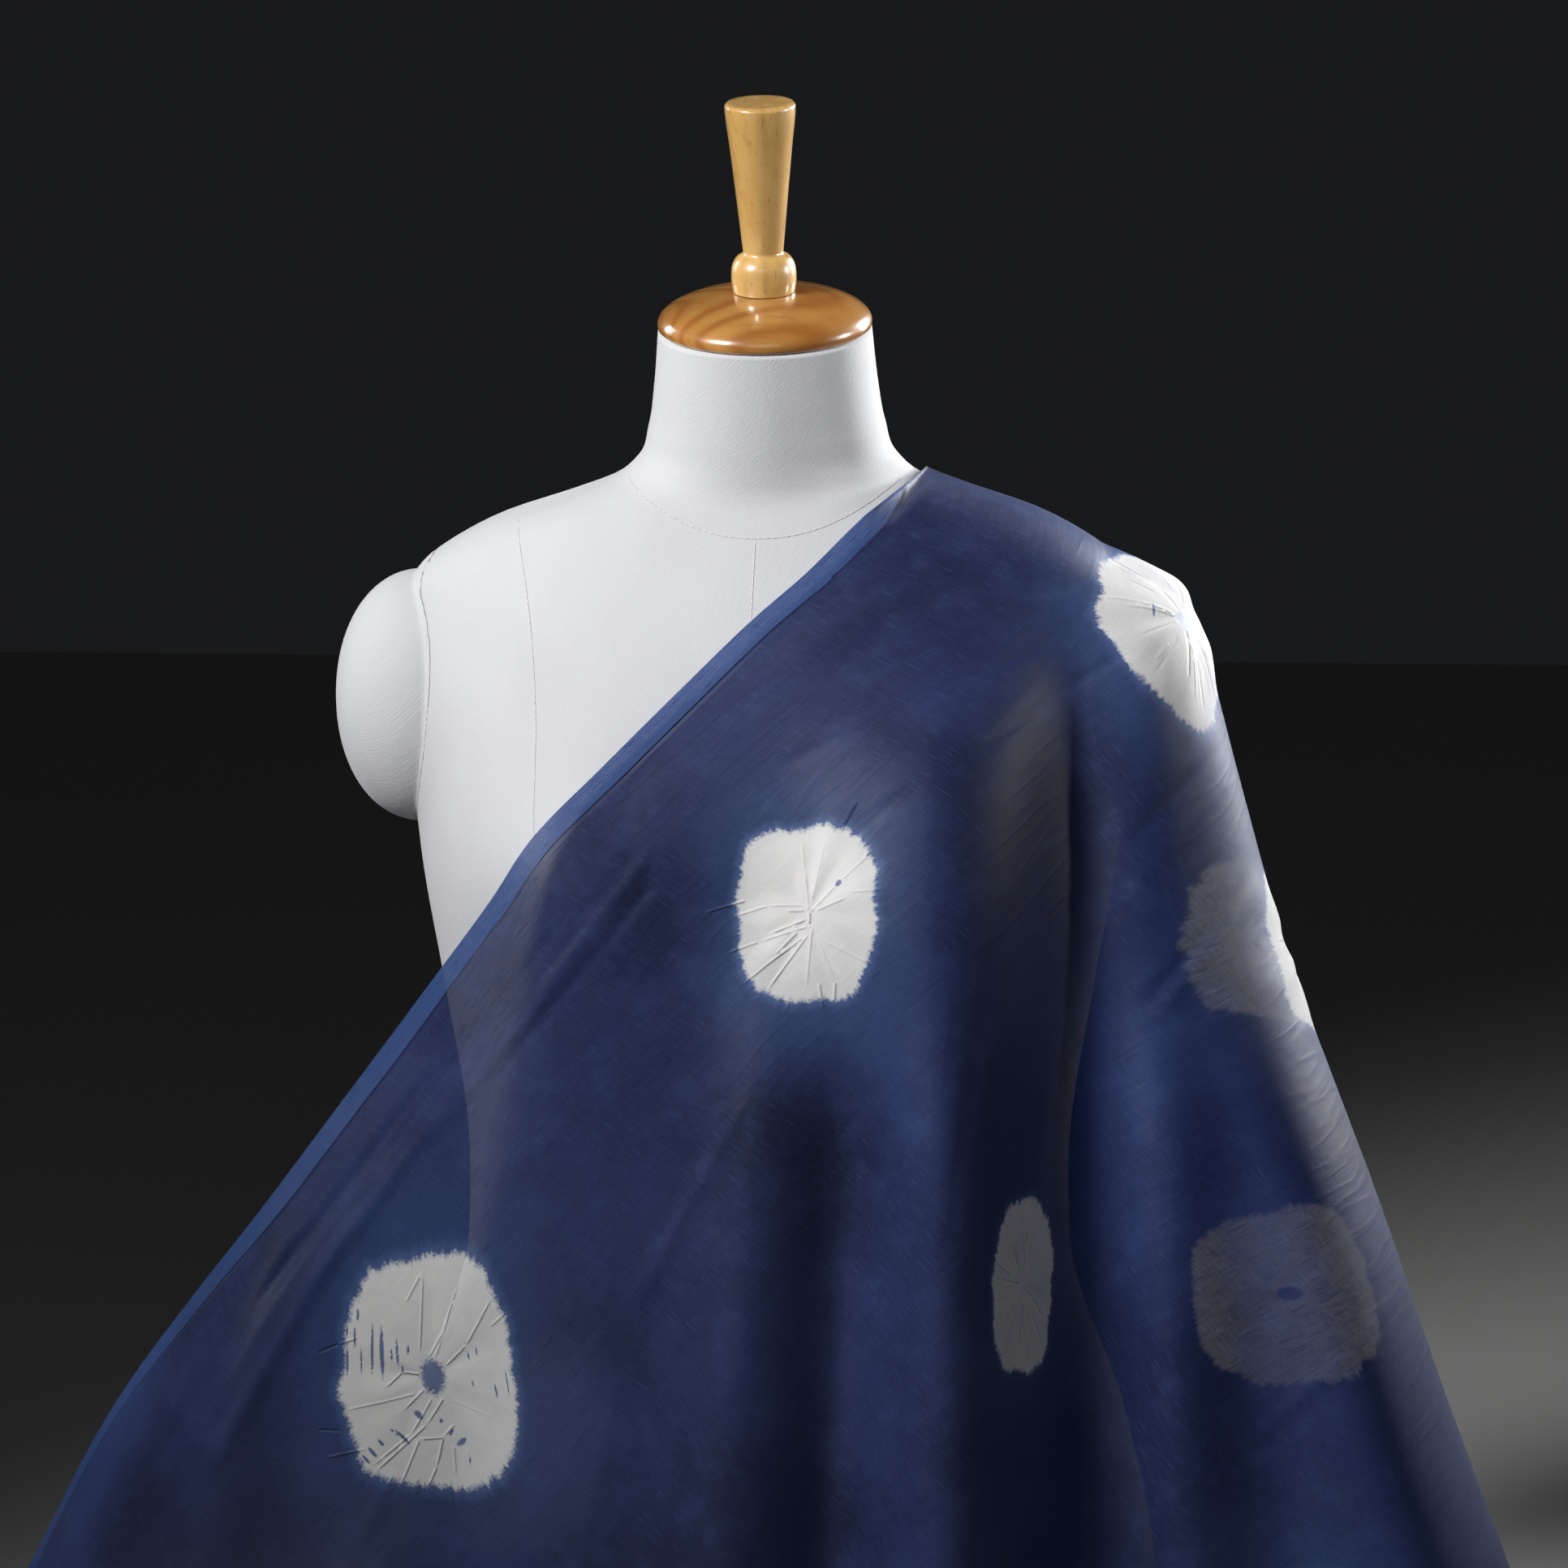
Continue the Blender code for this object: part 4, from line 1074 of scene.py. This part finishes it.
def stitch_tree(finish):
    """Thread stitches spaced along curves: each a small rounded rod along the line."""
    tree, given = node_group("stitches", ("Pitch", "Length", "Radius"))
    spaced = {"Curve": given["Geometry"], "Length": given["Pitch"]}
    points = step_in(tree, "GeometryNodeResampleCurve", spaced, mode="LENGTH")
    rod = step_in(tree, "GeometryNodeMeshUVSphere", {"Segments": 6, "Rings": 5, "Radius": 1.0})
    half = step_in(tree, "ShaderNodeMath", {0: given["Length"], 1: 0.5}, operation="MULTIPLY")
    size = step_in(tree, "ShaderNodeCombineXYZ", {"X": given["Radius"], "Y": given["Radius"], "Z": half[0]})
    shaped = step_in(tree, "GeometryNodeTransform", {"Geometry": rod["Mesh"], "Scale": size[0]})
    tangent = step_in(tree, "GeometryNodeInputTangent", {})
    turn = step_in(tree, "FunctionNodeAlignRotationToVector", {"Vector": tangent[0]}, axis="Z")
    placed = {"Points": points["Curve"], "Instance": shaped["Geometry"], "Rotation": turn["Rotation"]}
    rods = step_in(tree, "GeometryNodeInstanceOnPoints", placed)
    return end_tree(tree, rods["Instances"], finish)


def seam_tree(finish):
    """A low rounded line along curves, for where two pieces of canvas meet."""
    tree, given = node_group("seam", ("Half width",))
    round_line = {"Resolution": 6, "Radius": given["Half width"]}
    ring = step_in(tree, "GeometryNodeCurvePrimitiveCircle", round_line)
    parts = {"Fill Caps": True, "Curve": given["Geometry"], "Profile Curve": ring["Curve"]}
    tube = step_in(tree, "GeometryNodeCurveToMesh", parts)
    return end_tree(tree, tube["Mesh"], finish)


def cloth_leg(counts, row, selvedge, places, depths, fold_rows, crease_rows, side):
    """The points of a row from its selvedge to the crest. Side is -1 for the front, 1 for the back."""
    points, roll_points = counts
    crest_x, crest_y, crest_z, roll = row
    selvedge_x, selvedge_z = selvedge
    length = np.hypot(crest_x - selvedge_x, crest_z - selvedge_z)
    roll = np.minimum(roll, MOST_ROLL_SHARE * length) / length
    straight = np.linspace(0.0, 1.0, points, endpoint=False) * (1 - roll)
    quarter = np.linspace(0.0, math.pi / 2, roll_points)
    share = np.concatenate([straight, 1 - roll + roll * np.sin(quarter)])
    out = np.concatenate([np.ones(points), np.cos(quarter)])
    across = selvedge_x + (crest_x - selvedge_x) * share
    height = selvedge_z + (crest_z - selvedge_z) * share
    depth = surface(places, depths, across, height) + folds(fold_rows, across, height, FOLD_FADE)
    depth = depth + folds(crease_rows, across, height, CREASE_FADE)
    return across, crest_y + side * (depth - side * crest_y) * out, height, share * length


def cloth_grid(rows, front_points, roll_points, back_points, creases=()):
    """The sheet's points: rows from the hem up, each from the front selvedge round to the back one."""
    grid = []
    for place in np.linspace(0.0, 1.0, rows):
        front_z, crest_z, back_z = read(ROW_COLUMNS, ROW_HEIGHTS, ("front", "crest", "back"), place)
        crest_x, crest_y, roll = read(CREST_COLUMNS, CREST, ("reach", "depth", "roll"), crest_z)
        front_x, curl = read(SELVEDGE_COLUMNS, FRONT_SELVEDGE, ("reach", "curl"), front_z)
        (back_x,) = read(BACK_SELVEDGE_COLUMNS, BACK_SELVEDGE, ("reach",), back_z)
        row = (crest_x, crest_y, crest_z, roll)
        front_tables = (FRONT_PLACES, FRONT_DEPTHS, FRONT_FOLDS, creases, -1)
        x, y, z, from_edge = cloth_leg((front_points, roll_points), row, (front_x, front_z), *front_tables)
        y = y + curl * np.clip(1 - from_edge / CURL_WIDTH, 0, 1) ** 2
        front = np.stack([x, y, z], -1)
        back_tables = (BACK_PLACES, BACK_DEPTHS, BACK_FOLDS, (), 1)
        x, y, z, _ = cloth_leg((back_points, roll_points), row, (back_x, back_z), *back_tables)
        back = np.stack([x, y, z], -1)
        grid.append(np.concatenate([front, back[-2::-1]]))
    return np.array(grid)


def grid_faces(rows, columns):
    corner = np.arange(rows * columns).reshape(rows, columns)
    return np.stack([corner[:-1, :-1], corner[:-1, 1:], corner[1:, 1:], corner[1:, :-1]], -1).reshape(-1, 4)


def grid_mesh(name, grid):
    mesh = bpy.data.meshes.new(name)
    faces = grid_faces(*grid.shape[:2])
    mesh.from_pydata(grid.reshape(-1, 3).tolist(), [], faces.tolist())
    mesh.update()
    return mesh


def grid_area(grid):
    first = grid[1:, 1:] - grid[:-1, :-1]
    second = grid[1:, :-1] - grid[:-1, 1:]
    return float(np.linalg.norm(np.cross(first, second), axis=-1).sum() / 2)


def grid_normals(grid):
    """Unit normals that point out of the drape."""
    normals = np.cross(np.gradient(grid, axis=1), np.gradient(grid, axis=0))
    return normals / np.maximum(np.linalg.norm(normals, axis=-1, keepdims=True), 1e-12)


def lift_clear(grid, trees):
    """Moves points that are in or near the form out to the clearance."""
    for point in grid.reshape(-1, 3):
        for tree in trees:
            near, normal, _, _ = tree.find_nearest(Vector(point))
            if (Vector(point) - near).dot(normal) < CLOTH_CLEARANCE:
                point[:] = near + normal * CLOTH_CLEARANCE
    return grid


def flat_plan():
    """The cloth laid flat: for a coarse grid of the same drape, metres along and in from the selvedge."""
    grid = cloth_grid(*PLAN_GRID)
    mesh = grid_mesh("plan", grid)
    thing = new_object("plan", mesh)
    mesh.uv_layers.new(name="plan")
    bpy.context.view_layer.objects.active = thing
    thing.select_set(True)
    bpy.ops.object.mode_set(mode="EDIT")
    bpy.ops.mesh.select_all(action="SELECT")
    bpy.ops.uv.unwrap(method="ANGLE_BASED", margin=0.0)
    bpy.ops.uv.minimize_stretch(iterations=UNWRAP_ROUNDS)
    bpy.ops.object.mode_set(mode="OBJECT")
    loops = np.zeros(len(mesh.loops) * 2)
    mesh.uv_layers["plan"].data.foreach_get("uv", loops)
    flat = np.zeros((len(mesh.vertices), 2))
    flat[corner_points(mesh)] = loops.reshape(-1, 2)
    bpy.data.objects.remove(thing)
    flat = flat.reshape(*grid.shape[:2], 2)
    around = np.concatenate([flat, np.zeros((*flat.shape[:2], 1))], -1)
    flat = flat * math.sqrt(grid_area(grid) / grid_area(around))
    # Turned so that the front selvedge runs along the first axis, with the cloth on the positive side,
    # and slid along the other axis until that selvedge is straight
    run = flat[0, 0] - flat[-1, 0]
    run = run / np.linalg.norm(run)
    inward = np.array([-run[1], run[0]])
    if (flat[0, -1] - flat[0, 0]) @ inward < 0:
        inward = -inward
    top = flat[-1, sum(PLAN_GRID[1:3]) - 1]
    along, inside = (flat - top) @ run, (flat - flat[-1, 0]) @ inward
    return np.stack([along, inside - smooth(along[::-1, 0], inside[::-1, 0], along)], -1)


def section_places(front_points, roll_points, back_points):
    """Where each column of a grid lies, as a number that is the same for grids of any fineness."""
    front = np.linspace(0, 1, front_points, endpoint=False)
    roll = 1 + np.linspace(0, 1, roll_points)
    back = 3 + np.linspace(0, 1, back_points + 1)[1:]
    return np.concatenate([front, roll, 2 + np.linspace(0, 1, roll_points)[1:], back])


def flat_places(grid_size, plan):
    """The flat places of the fine grid's points, read from the coarse plan."""
    rows, columns = grid_size
    coarse, fine = section_places(*PLAN_GRID[1:]), section_places(*CLOTH_GRID[1:])
    row_places = np.linspace(0, 1, PLAN_GRID[0])
    at_rows = np.linspace(0, 1, rows)
    out = np.zeros((rows, columns, 2))
    for axis in range(2):
        wide = np.array([smooth(coarse, line, fine) for line in plan[:, :, axis]])
        out[:, :, axis] = np.array([smooth(row_places, line, at_rows) for line in wide.T]).T
    return out


def spot_frame(name):
    """A spot's middle in the flat cloth, and the directions there that point down and right in front."""
    spot = next(dict(zip(SPOT_COLUMNS, row)) for row in SPOTS if row[0] == name)
    turn = math.radians(spot["turn"])
    down = np.array([math.cos(turn), math.sin(turn)])
    return spot, np.array([spot["along"], spot["across"]]), down, np.array([-down[1], down[0]])


def spot_point(name, below, beside):
    """The flat place at millimetres below and to the right of a spot's middle."""
    _, middle, down, right = spot_frame(name)
    return middle + (below * down + beside * right) * MM


def spot_places(flat):
    """For each spot, the flat places seen from its middle, in its own half sizes."""
    places = []
    for row in SPOTS:
        spot, middle, down, right = spot_frame(row[0])
        away = flat - middle
        places.append(np.stack([away @ down / spot["down"], away @ right / spot["right"]], -1))
    return np.array(places)


def mark_places(flat):
    """For each dyed mark, the flat places seen from it, in its own half sizes."""
    places = []
    for row in MARKS:
        mark = dict(zip(MARK_COLUMNS, row))
        _, _, down, right = spot_frame(mark["spot"])
        middle = spot_point(mark["spot"], mark["down"], mark["right"])
        turn = math.radians(mark["turn"])
        along = math.cos(turn) * down + math.sin(turn) * right
        aside = -math.sin(turn) * down + math.cos(turn) * right
        size = np.array([mark["half_length"], mark["half_width"]]) * MM
        places.append(np.stack([(flat - middle) @ along, (flat - middle) @ aside], -1) / size)
    return np.array(places)


def pleat_lines():
    """Every sharp pleat as its two ends in the flat cloth and how far it stands out."""
    lines = []
    for row in PLEATS:
        pleat = dict(zip(PLEAT_COLUMNS, row))
        start = spot_point(pleat["spot"], pleat["from_down"], pleat["from_right"])
        end = spot_point(pleat["spot"], pleat["to_down"], pleat["to_right"])
        lines.append((start, end, pleat["out"]))
    # The other spots get pleats at uneven turns and of uneven lengths
    rng = np.random.default_rng(11)
    for row in SPOTS[2:]:
        spot, middle, down, right = spot_frame(row[0])
        for step in range(OTHER_PLEATS):
            turn = (step + rng.uniform(-0.4, 0.4)) / OTHER_PLEATS * 2 * math.pi
            away = math.cos(turn) * spot["down"] * down + math.sin(turn) * spot["right"] * right
            low, high = rng.uniform(0.08, 0.5), rng.uniform(0.6, 1.15)
            out = rng.uniform(0.4, 1.2) * rng.choice([-1, 1])
            lines.append((middle + away * low, middle + away * high, out))
    return lines


def pleat_places(flat):
    """For each pleat, the flat places seen from it: along from 0 to 1, and aside in half widths."""
    places = []
    for start, end, _ in pleat_lines():
        run = end - start
        length = np.linalg.norm(run)
        along = (flat - start) @ run / length**2
        aside = (flat - start) @ np.array([-run[1], run[0]]) / length / PLEAT_HALF_WIDTH
        places.append(np.stack([along, aside], -1))
    return np.array(places)


def spot_swell(flat):
    """Soft swells that run out from each knot, under the sharp pleats."""
    rng = np.random.default_rng(4)
    total = np.zeros(flat.shape[:-1])
    for place in spot_places(flat):
        radius = np.linalg.norm(place, axis=-1)
        turn = np.arctan2(place[..., 1], place[..., 0])
        waves = sum(np.cos(count * turn + rng.uniform(0, 2 * math.pi)) for count in (4, 5, 7, 9, 12)) / 5
        near = ease(radius / 0.3) * (1 - ease((radius - 0.5) / (SWELL_REACH - 0.5)))
        total += waves * near * SWELL_OUT
    return total


def add_maps(mesh, flat):
    """The cloth's maps: its flat place, and for each face its nearest spot, dyed mark and sharp pleat."""
    corner = flat.reshape(-1, 2)[corner_points(mesh)]
    face = corner.reshape(-1, 4, 2).mean(1)
    pleats = pleat_places(face)
    beyond = np.maximum(np.abs(pleats[..., 0] - 0.5) - 0.5, 0) * 60
    out = np.array([line[2] for line in pleat_lines()])
    away = {
        "spot": (spot_places, np.linalg.norm(spot_places(face), axis=-1)),
        "mark": (mark_places, np.linalg.norm(mark_places(face), axis=-1)),
        "pleat": (pleat_places, np.hypot(pleats[..., 1], beyond)),
    }
    picks = {name: np.repeat(np.argmin(distance, axis=0), 4) for name, (_, distance) in away.items()}
    maps = {"flat": corner}
    for name, (places, _) in away.items():
        maps[name] = np.take_along_axis(places(corner), picks[name][None, :, None], 0)[0]
    maps["facts"] = np.stack([picks["spot"] * 0.37 + 0.11, out[picks["pleat"]]], -1)
    for name, values in maps.items():
        add_map(mesh, name, values)


def make_cloth(finish, trees):
    grid = cloth_grid(*CLOTH_GRID, FRONT_CREASES)
    flat = flat_places(grid.shape[:2], flat_plan())
    grid = grid + grid_normals(grid) * spot_swell(flat)[..., None]
    grid = lift_clear(grid, trees)
    grid[0, :, 2] = 0.0
    mesh = grid_mesh("shibori_cloth", grid)
    add_maps(mesh, flat)
    cloth = mesh_piece("shibori_cloth", mesh, finish)
    size = (float(np.ptp(flat[..., 0])), float(np.ptp(flat[..., 1])))
    return cloth, size, grid_area(grid)


def tree_of(mesh):
    faces = [list(face.vertices) for face in mesh.polygons]
    return BVHTree.FromPolygons([vertex.co for vertex in mesh.vertices], faces)


def aim(thing, target):
    thing.rotation_euler = (Vector(target) - thing.location).to_track_quat("-Z", "Y").to_euler()


def add_camera():
    azimuth, elevation = math.radians(CAMERA_AZIMUTH), math.radians(CAMERA_ELEVATION)
    level = math.cos(elevation)
    away = Vector((math.sin(azimuth) * level, -math.cos(azimuth) * level, math.sin(elevation)))
    data = bpy.data.cameras.new("camera")
    data.sensor_width = SENSOR * 1000
    data.lens = SENSOR * 1000 * CAMERA_DISTANCE / FRAME_WIDTH
    data.clip_end = 50.0
    camera = new_object("camera", data)
    camera.location = Vector(CAMERA_TARGET) + away * CAMERA_DISTANCE
    aim(camera, CAMERA_TARGET)
    bpy.context.scene.camera = camera


# Softboxes: place, where each points, width, height, power, and its beam's spread in degrees
LIGHTS = {
    "key_high_left": ((-1.12, -1.22, 1.55), (0.03, -0.10, 0.65), 0.50, 0.50, 4.1, 43.0),
    "rim_right": ((1.05, 1.05, 1.05), (0.18, 0.02, 0.56), 0.25, 0.90, 4.4, 46.0),
    "side_right": ((1.42, 0.12, 1.20), (0.0, -0.02, 0.95), 0.08, 0.80, 1.0, 24.0),
    "side_left": ((-1.20, 0.60, 1.10), (-0.15, 0.0, 0.60), 0.40, 0.80, 0.5, 50.0),
    "front_fill": ((0.10, -2.40, 1.30), (0.0, 0.0, 0.50), 1.40, 0.90, 0.62, 60.0),
}
WORLD_COLOUR = (0.80, 0.83, 0.90, 1.0)
WORLD_LEVEL = 0.012
FLOOR_REACH = 6.0
FLOOR_DROP = 0.0002


def add_light():
    for name, (place, target, width, height, power, spread) in LIGHTS.items():
        data = bpy.data.lights.new(name, "AREA")
        data.shape = "RECTANGLE"
        data.size = width
        data.size_y = height
        data.energy = power
        data.spread = math.radians(spread)
        lamp = new_object(name, data)
        lamp.location = place
        aim(lamp, target)
    world = bpy.data.worlds.new("room")
    world.use_nodes = True
    sky = world.node_tree.nodes["Background"].inputs
    sky["Color"].default_value = WORLD_COLOUR
    sky["Strength"].default_value = WORLD_LEVEL
    bpy.context.scene.world = world
    bpy.context.scene.view_settings.view_transform = "Standard"


def add_floor():
    shape = bmesh.new()
    bmesh.ops.create_grid(shape, x_segments=1, y_segments=1, size=FLOOR_REACH)
    floor = mesh_piece("floor", new_mesh("floor", shape), floor_finish())
    floor.location.z = -FLOOR_DROP
    return floor


def wear(piece, slot, *nodes):
    """Puts a piece on the one body, in the place of its solids."""
    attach(piece, "root")
    if nodes:
        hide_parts(*nodes)


add_camera()
add_light()
add_floor()

canvas = canvas_finish()
form = mesh_piece("form_body", form_mesh(), canvas)
form_tree = tree_of(form.data)
wear(form, "canvas", "torso")
for side, hand in ((-1, "left"), (1, "right")):
    name = "shoulder_cap_" + hand
    wear(mesh_piece(name, stub_mesh(name, side, form_tree), canvas), "canvas", "arm_stub_" + hand)
wear(make_cap(cap_wood_finish()), "cap_wood", "neck_cap")
wear(make_knob(knob_wood_finish()), "knob_wood", "finial")
wear(make_foot(foot_wood_finish()), "foot_wood", "base")

paths = seam_paths(form_tree)
seam_shade_look, thread_look = seam_shade_finish(), thread_finish()
seams = grown(
    path_curve("seam_paths", paths, -SEAM_HALF_WIDTH * SEAM_SINK),
    seam_tree(seam_shade_look),
    "form_seams",
    seam_shade_look,
    {"Half width": SEAM_HALF_WIDTH},
)
stitches = grown(
    path_curve("stitch_paths", paths, THREAD_RADIUS * THREAD_LIFT),
    stitch_tree(thread_look),
    "form_stitches",
    thread_look,
    {"Pitch": STITCH_PITCH, "Length": STITCH_LENGTH, "Radius": THREAD_RADIUS},
)
wear(seams, "canvas")
wear(stitches, "canvas")

cap_tree = tree_of(stub_mesh("cap_surface", 1))
cloth, flat_size, flat_area = make_cloth(dyed_finish(), [form_tree, cap_tree])
wear(cloth, "indigo_cloth", "cloth")
